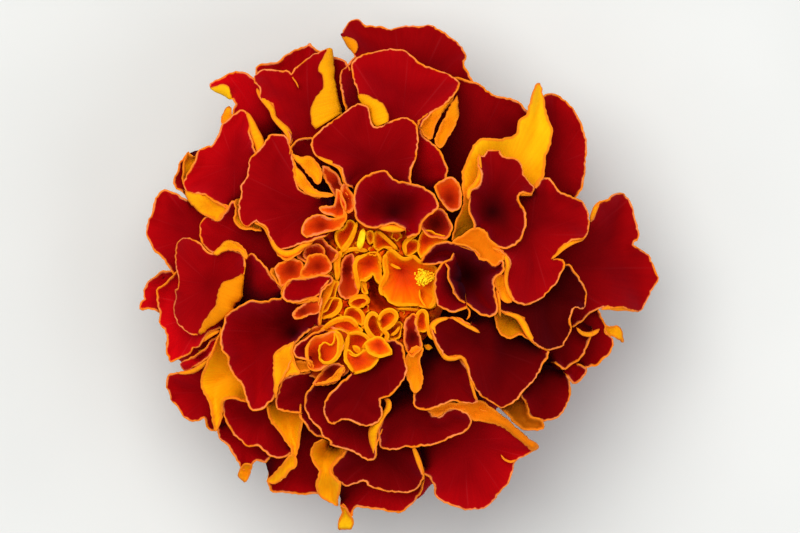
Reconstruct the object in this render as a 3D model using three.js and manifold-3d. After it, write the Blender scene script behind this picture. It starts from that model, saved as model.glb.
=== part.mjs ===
// A double French marigold bloom, picked just under its cup and lying face up.
//
// Units are millimetres and +Z is up. The bloom looks up at the sky: its disc florets are in the
// middle of the top, the ray petals fall away round them in layers, and the lowest petals bend
// back far enough to stand on the surface with the cut end of the stalk.
//
// The bloom is three bodies: the green cup with its stalk, the ray petals that share one packed
// base, and the small tubular florets of the disc.

import * as THREE from 'three';
import Module from 'manifold-3d';

const wasm = await Module();
wasm.setup();

// Driving dimensions.

const BLOOM_WIDTH = 56;          // across the widest petals
const PETAL_THICKNESS = 0.7;     // blades are drawn this thick so that they are sound solids
const SLIVER = 0.06;             // features smaller than this are left out
const TOUCH = 0.003;             // corners nearer than this count as touching
const GAP = 0.3;                 // clearance between two bodies that touch in the real bloom

const DOME_HEIGHT = 30;          // height of the petal edges on the highest ring
const DOME_RING = 9;             // radius of that ring
const DOME_FALL = 0.033;         // how fast the edges drop away from the ring, per mm squared
const FACE_SINK = 2.2;           // a petal's middle lies this far under the dome
const THROAT_SINK = 6.5;         // its narrow end lies this far under the dome
const CUP_SINK = 8;              // and that of a petal rolled into a cup lies deeper

const RUFFLE_HEIGHT = 0.55;      // waves along a petal's edge
const RUFFLE_LENGTH = 6.5;
const EDGE_STEP = 4.8;           // spacing of the points along an edge
const LAP_LIFT = 1.1;            // an edge that is folded over lies this far above the petal

const STALK_RADIUS = 0.65;       // narrow tube that joins a petal to the packed base
const THROAT_RADIUS = 0.8;
const WIDEST_SWEEP = 310;        // a rolled petal stays open along one side, in degrees

const CUP_RADIUS = 6.4;          // green cup
const CUP_FOOT_RADIUS = 3.4;
const CUP_BOTTOM = 3;
const CUP_TOP = 16;
const CUP_WALL = 0.9;
const CUP_RIBS = 8;
const PEDUNCLE_RADIUS = 2.2;
const RECEPTACLE_HEIGHT = 12.2;  // the florets stand on it, inside the cup

const BASE_TOP = 18.5;           // the disc florets stand at this height
const MOUND_SINK = 8.5;          // packed petal bases fill the head up to this far under the dome
const MOUND_RADIUS = 16.5;
const MOUND_BOTTOM = 16.8;
const POCKET_FLOOR_RADIUS = 5.1; // the disc florets stand in this pocket of the ray petals
const POCKET_TOP_RADIUS = 6.3;
const POCKET_TOP = 34;

// Places in the photograph.

const PHOTO_LEFT = 138;                 // the silhouette's sides, in pixels
const PHOTO_RIGHT = 660;
const PHOTO_MIDDLE = [397.9, 277.6];    // middle of the silhouette: the part's X = Y = 0
const PHOTO_AXIS = [375, 288];          // where the disc florets point at the camera
const MM_PER_PIXEL = BLOOM_WIDTH / (PHOTO_RIGHT - PHOTO_LEFT);

// Each petal: [name, throat, level, kind, edge].
// throat: pixel above its narrow end. level: mm above or below the dome, which puts the petals
// in their order. kind: "face" shows the red upper face, "back" is turned over and shows the
// orange one, "cup" is rolled into a cup, "young" is a small orange one by the disc.
// edge: pixels along the free edge, counter-clockwise for an upper face and clockwise for a
// turned one. A point with four numbers is on an edge folded over: edge x, y, then fold x, y.
const PETALS = [
  ['top_back', [405, 110], -1.6, 'face', [[473, 81], [464.5, 64], [464, 50], [442, 30], [430, 24],
    [403, 24.5], [390, 28.5], [365, 24], [358, 17.5], [350, 19.5], [341.5, 33], [348, 45],
    [354, 57], [344, 67], [339, 78], [340.5, 87], [346, 110]]],
  ['top_main', [400, 135], -0.2, 'face', [[423, 124, 436, 146], [432, 115.5, 453, 128],
    [443, 108, 457, 115], [455, 95, 459, 98], [459, 82], [444, 72], [421, 63], [405, 50],
    [390, 48.5], [364, 54], [350.5, 66], [352, 74], [358, 93], [364, 95, 360, 100],
    [375, 99, 364, 106], [384, 106, 369, 113], [388.5, 118, 373, 123]]],
  ['top_right_small', [425, 165], -0.6, 'face', [[446, 181], [447, 168], [438, 149], [420, 128],
    [414, 122]]],
  ['top_scoop', [372, 165], 0.8, 'face', [[411, 184.5], [410, 172], [417, 150], [417.5, 128],
    [408, 118.5], [388, 122.5], [377, 127], [370, 114], [362, 104], [346, 111], [319, 131],
    [311.5, 146], [324, 161], [341, 168.5], [346, 184.5], [354, 187.5]]],
  ['top_cup', [397, 207], 1.5, 'cup', [[405, 239], [419, 233], [423, 221], [435, 211],
    [438, 201], [424, 184], [411, 177], [395, 171], [380, 170], [365, 175], [356, 184],
    [354.5, 205], [357, 221], [367, 227], [380, 228], [393, 224]]],

  ['upper_right_back', [470, 160], -1.8, 'face', [[535, 125], [527, 110], [513, 99], [488, 91],
    [482, 85], [454, 76.5], [445, 76]]],
  ['upper_right_turned', [490, 215], -0.4, 'back', [[452, 240], [460, 212], [462, 180],
    [474, 145], [494, 139], [516, 134], [520, 119], [532, 97], [538, 81.5], [543.5, 95],
    [553, 132], [545, 160], [543, 177], [535, 187]]],
  ['upper_right_scoop', [487, 215], 0.6, 'face', [[485.5, 233], [494, 246], [512, 246],
    [524, 232], [525, 212], [519, 198], [534, 189], [524, 175], [520, 162], [503, 156.5],
    [492, 150], [478, 156], [481, 178], [468, 193], [468.5, 212], [473.5, 228]]],
  ['upper_right_inner_turned', [477, 262], -0.2, 'back', [[448, 240], [472, 229], [482, 228],
    [491, 243], [503, 262]]],
  ['upper_right_oval', [555, 165], -2.2, 'face', [[576, 197], [585, 178], [588, 148],
    [580, 118], [560, 95.5], [545, 94.5], [535, 105]]],

  ['right_cup_back', [455, 265], 1.0, 'cup', [[484, 266], [479, 254], [465, 246],
    [447, 241.5], [432, 247], [421, 259]]],
  ['right_cup', [463, 283], 1.2, 'cup', [[452, 255], [439, 264], [435, 285], [436, 302],
    [446, 311], [460, 311.5], [474, 309]]],
  ['right_cup_inner', [474, 283], 0.9, 'cup', [[451, 282], [455, 297], [466, 303], [477, 312],
    [489, 316], [496, 314], [501, 306]]],
  ['right_two_lobed', [530, 235], 0.2, 'face', [[494, 249], [506, 256], [509, 265], [506, 279],
    [514, 301.5], [533, 303], [550, 290], [565.5, 265], [559, 257], [566, 244], [585, 239],
    [589.5, 222], [585, 204], [567, 194.5], [551, 179], [535, 187]]],
  ['right_lower', [535, 300], -0.6, 'face', [[504, 274], [494, 281], [497.5, 305],
    [513, 314.5], [526, 328], [534, 343], [555, 349], [571.5, 330], [573, 310], [585.5, 306.5],
    [587, 296], [575, 272], [566, 265]]],
  ['right_lower_turned', [515, 318], -0.9, 'back', [[530, 342], [508, 338], [496, 325],
    [495, 313]]],
  ['far_right', [545, 270], -2.2, 'face', [[573, 327], [589, 315], [608, 307], [636, 312],
    [647, 304], [660, 280], [650, 255], [639.5, 239], [635, 211], [624, 193], [609, 199],
    [600, 201], [591, 221]]],
  ['lower_right_outer', [575, 325], -2.6, 'face', [[586, 368], [604, 360], [614, 341],
    [605, 323], [599, 311]]],
  ['lower_right_behind', [560, 335], -2.2, 'face', [[553, 363], [564, 369], [578, 361],
    [586, 349], [593, 333]]],

  ['lower_right_back', [540, 392], -2.4, 'face', [[521, 396], [529, 414], [543, 421],
    [559, 418], [570, 398], [568, 376]]],
  ['lower_right_back_turned', [515, 400], -2.0, 'back', [[531, 410], [544, 421], [544, 429],
    [527, 431], [504, 411]]],
  ['lower_right_main', [475, 345], 0.6, 'face', [[470, 324], [455, 317], [443, 318],
    [432, 328], [438, 346], [447, 357], [462, 357], [470, 378], [479, 394], [500, 408],
    [521, 395], [534, 380], [548.5, 351.5]]],
  ['lower_middle', [442, 375], 0.0, 'face', [[414, 393], [416, 407], [429, 409], [454, 401],
    [478, 401], [470, 375], [460, 358]]],
  ['lower_middle_turned', [416, 346], 0.3, 'back', [[424, 360], [421, 377], [418, 392],
    [409, 386], [407, 360]]],
  ['lower_shelf', [418, 412], -0.9, 'face', [[382, 419], [378.5, 440], [388, 449],
    [415, 447], [443, 441], [468, 429], [471.5, 418], [460, 409], [442, 415], [429, 410]]],
  ['lower_right_big', [465, 440], -1.8, 'face', [[424, 474], [434, 488], [440, 500],
    [463, 510], [487, 508], [509, 483], [516, 461], [539, 446], [526, 444, 534, 438],
    [512, 432, 519, 426], [494, 429, 504, 412], [477, 423, 487, 403]]],

  ['bottom_inner', [385, 355], 0.9, 'face', [[351, 374], [333, 390], [324, 408], [329, 422],
    [346, 419], [369, 426], [383, 414], [381, 399], [396, 390], [407.5, 369], [401.5, 344],
    [386, 340]]],
  ['bottom_left_inner', [348, 410], -0.2, 'face', [[314, 384], [304.5, 402], [311, 420],
    [323, 436], [335, 446], [352, 451], [370, 460], [376, 454], [369, 440, 379, 440],
    [367, 430, 382, 430]]],
  ['bottom_turned', [328, 455], -1.2, 'back', [[346, 450], [332, 466], [341, 483],
    [338, 506], [323, 499], [316, 486], [319, 471], [311, 454], [323, 439]]],
  ['bottom_middle', [385, 450], -1.4, 'face', [[346, 450], [332, 469], [347, 487],
    [364, 481], [380, 490], [405, 493], [424, 477], [411, 463, 421, 465],
    [405, 449, 414, 450]]],
  ['bottom_outer', [385, 475], -2.4, 'face', [[340, 506], [353, 518], [366, 508],
    [401, 513], [417, 498], [423, 483]]],
  ['bottom_outer_tip', [345, 505], -3.4, 'back', [[353, 515], [352, 528], [337, 530],
    [337, 512]]],

  ['left_main', [285, 325], 0.6, 'face', [[320, 325], [320, 300], [331, 281], [310, 278],
    [290, 280], [282, 297], [260, 301.5], [245, 303], [226, 316], [221, 340], [229, 364],
    [241, 383], [246.5, 400], [257, 411], [274, 398], [285, 375], [293, 352], [310, 330]]],
  ['left_turned', [300, 368], 0.3, 'back', [[277, 397], [275, 372], [278, 352], [299, 340]]],
  ['left_small', [308, 393], -0.3, 'face', [[310, 371], [290, 375], [280, 386],
    [275, 401], [287, 411.5], [300, 413]]],
  ['lower_left_turned', [285, 405], -1.0, 'back', [[301, 414], [300, 442], [296, 462],
    [278, 483], [266, 481], [268, 413]]],
  ['lower_left_mid', [262, 415], -1.8, 'face', [[245, 399.5], [224, 399], [225, 418],
    [241, 441], [258, 446], [272, 457], [291, 453]]],
  ['left_big_turned', [228, 375], -1.2, 'back', [[238, 399], [223, 405], [214.5, 432],
    [210, 404], [201, 381], [209, 358], [221, 328]]],
  ['left_lower_back', [215, 392], -2.4, 'face', [[210, 358], [194, 371], [168, 375],
    [166, 387], [175, 405], [188, 421], [206, 424], [214, 431]]],
  ['left_outer', [210, 310], -1.8, 'face', [[177, 271], [157, 289], [157.5, 305],
    [166, 340], [170, 363], [190, 354], [209, 333], [220, 328]]],
  ['left_outermost', [185, 285], -3.2, 'face', [[172, 271], [150, 279], [138.5, 303],
    [143, 310], [157, 311]]],
  ['left_upper_outer', [200, 235], -2.0, 'face', [[187, 200], [165, 189], [152.5, 207],
    [145.5, 231], [154, 251], [173, 274]]],
  ['left_under', [240, 232], -1.4, 'face', [[232, 205], [212, 212], [203, 218], [199, 231],
    [209, 251], [226, 258]]],
  ['left_bone', [222, 285], -0.4, 'face', [[246, 255], [234, 241.5], [221, 246],
    [210, 251], [196, 239], [177, 243], [176, 266], [178, 287], [173.5, 309], [186, 331],
    [200, 329], [208, 312, 213, 323], [218, 295, 232, 311], [222, 282, 244, 298],
    [241, 276.5, 244, 280]]],
  ['left_wedge', [262, 285], -0.9, 'face', [[283, 290], [274, 279], [264, 265], [252, 253],
    [243, 262]]],

  ['upper_left_main', [298, 120], -0.9, 'face', [[315.8, 129.4, 341, 113.6],
    [311, 115, 339.8, 108], [314, 100, 337, 98], [323.5, 85, 335, 86], [319, 70, 333.2, 68],
    [326, 51, 331, 50], [306, 58.6], [292, 73], [278, 70], [260.8, 69.4], [253.3, 79],
    [260, 99], [273, 107], [275, 122], [290, 139]]],
  ['upper_left_behind', [300, 85], -1.8, 'face', [[322, 52], [309.5, 42], [294, 49.8],
    [275, 62], [257, 65], [255, 73]]],
  ['upper_left_pointed', [258, 118], -2.0, 'face', [[264, 92], [248, 73.5], [225, 74],
    [208, 84], [220, 88], [231, 96], [235, 104], [232, 116]]],
  ['upper_left_big', [235, 165], -1.0, 'face', [[256, 153], [250, 130], [251, 119],
    [240, 109], [222, 124], [213, 144.5], [196, 154], [183, 182], [187, 193], [207, 196],
    [226, 208]]],
  ['upper_left_big_turned', [212, 200], -0.9, 'back', [[229, 206], [218, 221],
    [194, 210], [187, 194]]],
  ['upper_left_inner', [280, 195], 0.2, 'face', [[320, 197], [300, 189], [295, 171],
    [288, 139], [277, 134], [262, 146], [249, 162], [246, 179], [240, 187], [238.5, 215],
    [248, 227], [262, 225], [276, 249], [294, 246], [325, 236]]],
  ['upper_left_inner_turned', [290, 240], -0.1, 'back', [[304, 249], [287, 260],
    [272, 245]]],
  ['upper_left_lip', [315, 178], 0.3, 'back', [[337, 197], [310, 196], [295, 172],
    [292.5, 154], [313, 157], [321, 168]]],

  ['left_of_disc_upper', [342, 235], 0.6, 'young', [[342, 214], [320, 214], [301.5, 228],
    [306, 237]]],
  ['left_of_disc', [335, 266], 0.6, 'young', [[331, 256], [312, 254], [300.5, 275],
    [330, 275]]],
  ['lower_left_of_disc', [326, 350], 1.0, 'young', [[344, 342], [338, 330], [320, 333],
    [306.5, 346], [308, 364], [329, 365], [341, 350]]],
  ['upper_right_of_disc', [437, 227], 0.4, 'young', [[447, 240], [452, 227], [444, 209],
    [430, 216], [424, 232]]],
  ['below_disc_right', [415, 345], 0.2, 'young', [[420, 330], [413, 313], [404, 325],
    [405, 350]]],
  ['lower_left_outer', [240, 440], -2.8, 'face', [[217, 429], [228, 447], [242, 470],
    [253, 463], [270, 458]]],
  ['lower_left_outer_tip', [245, 455], -3.4, 'back', [[253, 470], [243, 484], [237, 470]]],
  ['bottom_left_outer', [300, 465], -2.6, 'face', [[267, 481], [275, 493], [304, 495],
    [320, 498]]],
];

// Rings of petals that the photograph hides. bend is how far round each petal has curled by
// its tip, in radians; step is how much higher every second tip is.
const HIDDEN_RINGS = [
  { name: 'middle', count: 9, radius: 22, height: 8.2, step: 1.4, bend: 1.75, width: 5.2,
    start: 12, columns: [-1, 0, 1] },
  { name: 'lowest', count: 8, radius: 19.5, height: -0.9, step: 2.6, bend: 2.15, width: 5.0,
    start: 30, columns: [-1, -0.45, 0.45, 1] },
];
const HIDDEN_ROOT = 8.5;
const HIDDEN_TOP = 17.6;

// Disc florets: [x, y, mouth radius in px, mouth height, lean azimuth in degrees, lean].
const FLORETS = [
  [403, 280, 15, 27.0, 0, 14], [366, 271, 10, 26.6, 120, 10], [346, 280, 9, 26.4, 180, 16],
  [362, 300, 8, 26.0, 210, 12], [372, 324, 9, 26.2, 268, 14], [391, 327, 8, 26.2, 300, 14],
  [345, 318, 9, 26.4, 225, 18], [356, 343, 10, 26.8, 250, 14], [378, 346, 9, 26.4, 272, 14],
  [390, 250, 9, 26.8, 62, 16], [366, 246, 8, 26.6, 105, 18], [411, 252, 8, 26.8, 45, 14],
  [422, 274, 8, 27.4, 12, 22], [418, 298, 9, 26.6, 342, 18], [400, 304, 8, 25.6, 320, 10],
  [335, 300, 8, 26.4, 190, 22],
];

// Helpers.

const TURN = Math.PI / 180;
const AXIS = place(PHOTO_AXIS);

function place([x, y]) {
  return new THREE.Vector2((x - PHOTO_MIDDLE[0]) * MM_PER_PIXEL,
    (PHOTO_MIDDLE[1] - y) * MM_PER_PIXEL);
}

function domeHeight(point, level) {
  const r = Math.hypot(point.x - AXIS.x, point.y - AXIS.y);
  return DOME_HEIGHT - DOME_FALL * (r - DOME_RING) ** 2 + level;
}

// Joins a closed surface into a solid, whichever way its triangles were wound.
function solidFrom(vertices, triangles) {
  const six = triangles.reduce((sum, [a, b, c]) => sum
    + vertices[a].dot(vertices[b].clone().cross(vertices[c])), 0);
  const wound = six > 0 ? triangles : triangles.map(([a, b, c]) => [a, c, b]);
  return new wasm.Manifold(new wasm.Mesh({
    numProp: 3,
    vertProperties: new Float32Array(vertices.flatMap((v) => [v.x, v.y, v.z])),
    triVerts: new Uint32Array(wound.flat()),
  }));
}

// The one body that holds together, without the slivers that cutting left on it.
function whole(solid) {
  const bodies = solid.decompose().sort((a, b) => b.volume() - a.volume());
  return bodies[0].asOriginal().simplify(SLIVER);
}

// A closed blade round a grid of points: rows run across it, columns along its edge. The two
// faces are split into triangles alike, so a waved blade doesn't cross itself. Its upper side
// faces towards the given direction.
function bladeSolid(rows, thickness, facing = new THREE.Vector3(0, 0, 1)) {
  const n = rows[0].length;
  const m = rows.length;
  const point = (j, i) => rows[Math.min(Math.max(j, 0), m - 1)][Math.min(Math.max(i, 0), n - 1)];
  const normals = rows.map((row, j) => row.map((_, i) => {
    const along = point(j, i + 1).clone().sub(point(j, i - 1));
    const across = point(j + 1, i).clone().sub(point(j - 1, i));
    const normal = along.cross(across).normalize();
    if (normal.dot(facing) < 0) normal.negate();
    return normal.addScaledVector(facing, 0.8).normalize();
  }));
  const vertices = [];
  for (const side of [0.5, -0.5]) {
    rows.forEach((row, j) => row.forEach((p, i) => {
      vertices.push(p.clone().addScaledVector(normals[j][i], side * thickness));
    }));
  }
  const top = (j, i) => j * n + i;
  const low = (j, i) => m * n + j * n + i;
  const triangles = [];
  for (let j = 0; j < m - 1; j++) {
    for (let i = 0; i < n - 1; i++) {
      triangles.push([top(j, i), top(j, i + 1), top(j + 1, i + 1)],
        [top(j, i), top(j + 1, i + 1), top(j + 1, i)]);
      triangles.push([low(j, i), low(j + 1, i + 1), low(j, i + 1)],
        [low(j, i), low(j + 1, i), low(j + 1, i + 1)]);
    }
  }
  const ring = [];
  for (let i = 0; i < n - 1; i++) ring.push([0, i]);
  for (let j = 0; j < m - 1; j++) ring.push([j, n - 1]);
  for (let i = n - 1; i > 0; i--) ring.push([m - 1, i]);
  for (let j = m - 1; j > 0; j--) ring.push([j, 0]);
  ring.forEach(([j, i], k) => {
    const [q, p] = ring[(k + 1) % ring.length];
    triangles.push([top(j, i), low(j, i), low(q, p)], [top(j, i), low(q, p), top(q, p)]);
  });
  return solidFrom(vertices, triangles);
}

// A closed tube through the given centres, [point, radius] each.
function tubeSolid(stations, sides) {
  const vertices = [];
  for (const [centre, radius] of stations) {
    for (let k = 0; k < sides; k++) {
      const a = (k * 2 * Math.PI) / sides;
      vertices.push(new THREE.Vector3(centre.x + radius * Math.cos(a),
        centre.y + radius * Math.sin(a), centre.z));
    }
  }
  const triangles = [];
  for (let s = 0; s < stations.length - 1; s++) {
    for (let k = 0; k < sides; k++) {
      const a = s * sides + k;
      const b = s * sides + ((k + 1) % sides);
      triangles.push([a, b, b + sides], [a, b + sides, a + sides]);
    }
  }
  for (let k = 1; k < sides - 1; k++) {
    const last = (stations.length - 1) * sides;
    triangles.push([0, k + 1, k], [last, last + k, last + k + 1]);
  }
  return solidFrom(vertices, triangles);
}

// Petals.

// Even samples along an edge. Every sample carries its place and, where the edge is folded
// over, the place of the fold.
function sampleEdge(edge, step) {
  const curve = new THREE.CatmullRomCurve3(
    edge.map((p) => { const q = place(p); return new THREE.Vector3(q.x, q.y, 0); }),
    false, 'centripetal');
  const folds = new THREE.CatmullRomCurve3(
    edge.map((p) => {
      const q = p.length === 4 ? place([p[2], p[3]]) : place(p);
      return new THREE.Vector3(q.x, q.y, p.length === 4 ? 1 : 0);
    }), false, 'centripetal');
  const length = curve.getLength();
  const count = Math.max(4, Math.round(length / step));
  const samples = [];
  for (let i = 0; i <= count; i++) {
    const t = curve.getUtoTmapping(i / count);
    const at = curve.getPoint(t);
    const fold = folds.getPoint(t);
    samples.push({ at, fold, folded: fold.z > 0.35, along: (length * i) / count });
  }
  return samples;
}

// Drops the samples that would run back round the throat, so that the blade stays one sheet.
function sweepOnly(samples, throat, sense) {
  const kept = [];
  let last = null;
  let swept = 0;
  for (const s of samples) {
    const where = s.folded ? s.fold : s.at;
    const azimuth = Math.atan2(where.y - throat.y, where.x - throat.x) / TURN;
    const turn = last === null ? 90 : ((((azimuth - last) * sense) % 360) + 540) % 360 - 180;
    if (turn < 3) continue;
    if (last !== null) swept += turn;
    if (swept > WIDEST_SWEEP) break;
    kept.push(s);
    last = azimuth;
  }
  return kept;
}

function ruffle(along, phase) {
  return RUFFLE_HEIGHT * Math.sin((2 * Math.PI * along) / RUFFLE_LENGTH + phase);
}

function blade(throat, rims, kind, bottom, level) {
  const rows = [[], [], []];
  const nearest = Math.min(...rims.map((rim) => Math.hypot(rim.x - throat.x, rim.y - throat.y)));
  const narrow = Math.min(THROAT_RADIUS, 0.45 * nearest);
  for (const rim of rims) {
    const out = new THREE.Vector2(rim.x - throat.x, rim.y - throat.y).normalize();
    const start = new THREE.Vector3(throat.x + out.x * narrow, throat.y + out.y * narrow,
      bottom);
    const part = kind === 'cup' || kind === 'young' ? 0.72 : 0.45;
    const knee = start.clone().lerp(rim, part);
    knee.z = kind === 'cup' || kind === 'young'
      ? bottom + 0.2 * (rim.z - bottom)
      : Math.min(domeHeight(knee, level) - FACE_SINK, rim.z + 2.5);
    [0, 0.6, 1].forEach((v, j) => {
      rows[j].push(start.clone().multiplyScalar((1 - v) ** 2)
        .addScaledVector(knee, 2 * v * (1 - v)).addScaledVector(rim, v * v));
    });
  }
  return bladeSolid(rows, PETAL_THICKNESS);
}

// The strip of an edge that is folded over onto its petal.
function lapBlades(samples, level, phase) {
  const runs = [];
  let run = [];
  for (const s of [...samples, { folded: false }]) {
    if (s.folded) run.push(s);
    else { if (run.length > 1) runs.push(run); run = []; }
  }
  return runs.map((part) => {
    const edge = part.map((s) => new THREE.Vector3(s.at.x, s.at.y,
      domeHeight(s.at, level) + LAP_LIFT + ruffle(s.along, phase)));
    const fold = part.map((s) => new THREE.Vector3(s.fold.x, s.fold.y,
      domeHeight(s.fold, level)));
    return bladeSolid([fold, edge], PETAL_THICKNESS);
  });
}

function petalSolids([, throatPixel, level, kind, edge], index) {
  const throat = place(throatPixel);
  const phase = index * 2.4;
  const small = kind === 'young' || edge.length < 6;
  const samples = sampleEdge(edge, small ? EDGE_STEP * 0.72 : EDGE_STEP);
  const sense = kind === 'back' ? -1 : 1;
  const rims = sweepOnly(samples, throat, sense).map((s) => {
    const at = s.folded ? s.fold : s.at;
    const z = domeHeight(at, level) + (s.folded ? 0 : ruffle(s.along, phase));
    return new THREE.Vector3(at.x, at.y, z);
  });
  const sink = kind === 'cup' || kind === 'young' ? CUP_SINK : THROAT_SINK;
  const bottom = domeHeight(throat, level) - sink;
  return [blade(throat, rims, kind, bottom, level), stalk(throat, bottom),
    ...lapBlades(samples, level, phase)];
}

// The narrow foot of a petal, a tube down into the packed bases or a strap out from them.
function stalk(throat, bottom) {
  const away = new THREE.Vector2(throat.x - AXIS.x, throat.y - AXIS.y);
  const top = new THREE.Vector3(throat.x, throat.y, bottom + 0.2);
  const reach = MOUND_RADIUS - 3;
  if (away.length() < reach) {
    return tubeSolid([[top.clone().setZ(MOUND_BOTTOM + 1), STALK_RADIUS * 1.4],
      [top, STALK_RADIUS * 1.4]], 4);
  }
  const out = away.clone().normalize();
  const side = new THREE.Vector3(-out.y, out.x, 0).multiplyScalar(STALK_RADIUS * 1.6);
  const root = new THREE.Vector3(AXIS.x + out.x * reach, AXIS.y + out.y * reach,
    MOUND_BOTTOM + 1.5);
  top.addScaledVector(new THREE.Vector3(out.x, out.y, 0), 0.6);
  return bladeSolid([[root.clone().sub(side), root.clone().add(side)],
    [top.clone().sub(side), top.clone().add(side)]], 2 * STALK_RADIUS);
}

// A petal bent back under the bloom: it leaves the packed bases, arches out and comes down.
function hiddenPetals(ring) {
  const solids = [];
  for (let k = 0; k < ring.count; k++) {
    const azimuth = (ring.start + (360 * k) / ring.count + 5 * Math.sin(2.4 * k)) * TURN;
    const out = new THREE.Vector2(Math.cos(azimuth), Math.sin(azimuth));
    const side = new THREE.Vector2(-out.y, out.x);
    const grown = 1 + 0.05 * Math.sin(3.7 * k + 1);
    const tip = ring.height + (k % 2) * ring.step;
    const rows = [0, 0.4, 0.75, 1].map((v) => ring.columns.map((u) => {
      const bulge = Math.sin(v * ring.bend);
      const reach = HIDDEN_ROOT + (ring.radius * grown - HIDDEN_ROOT) * bulge
        + 0.7 * v * Math.sin(4 * u + 2.4 * k);
      const width = (1 + ring.width * Math.sin(2.3 * v)) * u;
      const height = THREE.MathUtils.lerp(HIDDEN_TOP, tip, v ** 1.7) + 2.4 * v * v * u * u;
      return new THREE.Vector3(AXIS.x + out.x * reach + side.x * width,
        AXIS.y + out.y * reach + side.y * width, height);
    }));
    solids.push(bladeSolid(rows, PETAL_THICKNESS, new THREE.Vector3(out.x, out.y, 0.3)));
  }
  return solids;
}

function pocketSolid(margin) {
  return tubeSolid([
    [new THREE.Vector3(AXIS.x, AXIS.y, BASE_TOP - 0.01 + margin), POCKET_FLOOR_RADIUS - margin],
    [new THREE.Vector3(AXIS.x, AXIS.y, POCKET_TOP), POCKET_TOP_RADIUS - margin],
  ], 20);
}

function rayFlorets() {
  const axisAt = (z) => new THREE.Vector3(AXIS.x, AXIS.y, z);
  const base = tubeSolid([
    [axisAt(RECEPTACLE_HEIGHT + GAP), CUP_RADIUS - CUP_WALL - GAP - 0.6],
    [axisAt(CUP_TOP + 0.5), CUP_RADIUS - CUP_WALL - GAP],
    [axisAt(MOUND_BOTTOM), CUP_RADIUS + 1],
    [axisAt(MOUND_BOTTOM + 0.6), MOUND_RADIUS - 2],
    [axisAt(MOUND_BOTTOM + 1.6), MOUND_RADIUS],
    [axisAt(DOME_HEIGHT - MOUND_SINK - 1), MOUND_RADIUS - 4],
    [axisAt(DOME_HEIGHT - MOUND_SINK), DOME_RING],
  ], 16);
  const solids = [base, ...PETALS.flatMap(petalSolids), ...HIDDEN_RINGS.flatMap(hiddenPetals)];
  const under = tubeSolid([[new THREE.Vector3(0, 0, -20), 60], [new THREE.Vector3(0, 0, 0), 60]], 8);
  return whole(wasm.Manifold.union(solids).subtract(pocketSolid(0)).subtract(under));
}

// Disc florets.

// A little trumpet: a tube that opens into five lobes round a hollow mouth.
function trumpet([x, y, mouthPixels, height, leanAzimuth, lean]) {
  const mouth = mouthPixels * MM_PER_PIXEL;
  const top = place([x, y]);
  const azimuth = leanAzimuth * TURN;
  const foot = new THREE.Vector3(
    AXIS.x + (top.x - AXIS.x) * 0.62, AXIS.y + (top.y - AXIS.y) * 0.62, BASE_TOP + 1.2);
  const sides = 10;
  const stations = [[0, 0.75], [0.6, 0.85], [1, mouth]];
  const vertices = [];
  const put = (part, radius, drop, k) => {
    const a = (k * 2 * Math.PI) / sides;
    const wave = part === 1 ? 0.25 * Math.cos(5 * a) * mouth : 0;
    const px = Math.cos(a) * (radius + wave);
    const py = Math.sin(a) * (radius + wave);
    const tilt = (px * Math.cos(azimuth) + py * Math.sin(azimuth)) * Math.tan(lean * TURN);
    const cx = THREE.MathUtils.lerp(foot.x, top.x, part);
    const cy = THREE.MathUtils.lerp(foot.y, top.y, part);
    vertices.push(new THREE.Vector3(cx + px, cy + py,
      THREE.MathUtils.lerp(foot.z, height, part) - tilt * part - drop));
  };
  for (const [part, radius] of stations) for (let k = 0; k < sides; k++) put(part, radius, 0, k);
  for (let k = 0; k < sides; k++) put(0.999, mouth * 0.62, 0.35, k);
  const rings = stations.length;
  const pit = new THREE.Vector3(THREE.MathUtils.lerp(foot.x, top.x, 0.72),
    THREE.MathUtils.lerp(foot.y, top.y, 0.72), THREE.MathUtils.lerp(foot.z, height, 0.72));
  vertices.push(pit, foot.clone());
  const triangles = [];
  for (let s = 0; s < rings; s++) {
    for (let k = 0; k < sides; k++) {
      const a = s * sides + k;
      const b = s * sides + ((k + 1) % sides);
      triangles.push([a, b, b + sides], [a, b + sides, a + sides]);
    }
  }
  for (let k = 0; k < sides; k++) {
    const b = (k + 1) % sides;
    triangles.push([rings * sides + k, rings * sides + b, vertices.length - 2]);
    triangles.push([b, k, vertices.length - 1]);
  }
  return solidFrom(vertices, triangles);
}

function discFlorets() {
  const axisAt = (z) => new THREE.Vector3(AXIS.x, AXIS.y, z);
  const core = tubeSolid([
    [axisAt(BASE_TOP + GAP), POCKET_FLOOR_RADIUS - GAP],
    [axisAt(BASE_TOP + 2.4), POCKET_FLOOR_RADIUS - GAP - 0.5],
    [axisAt(BASE_TOP + 3.4), 2.6],
  ], 16);
  return whole(wasm.Manifold.union([core, ...FLORETS.map(trumpet)]).intersect(pocketSolid(GAP)));
}

// Green cup.

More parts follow.
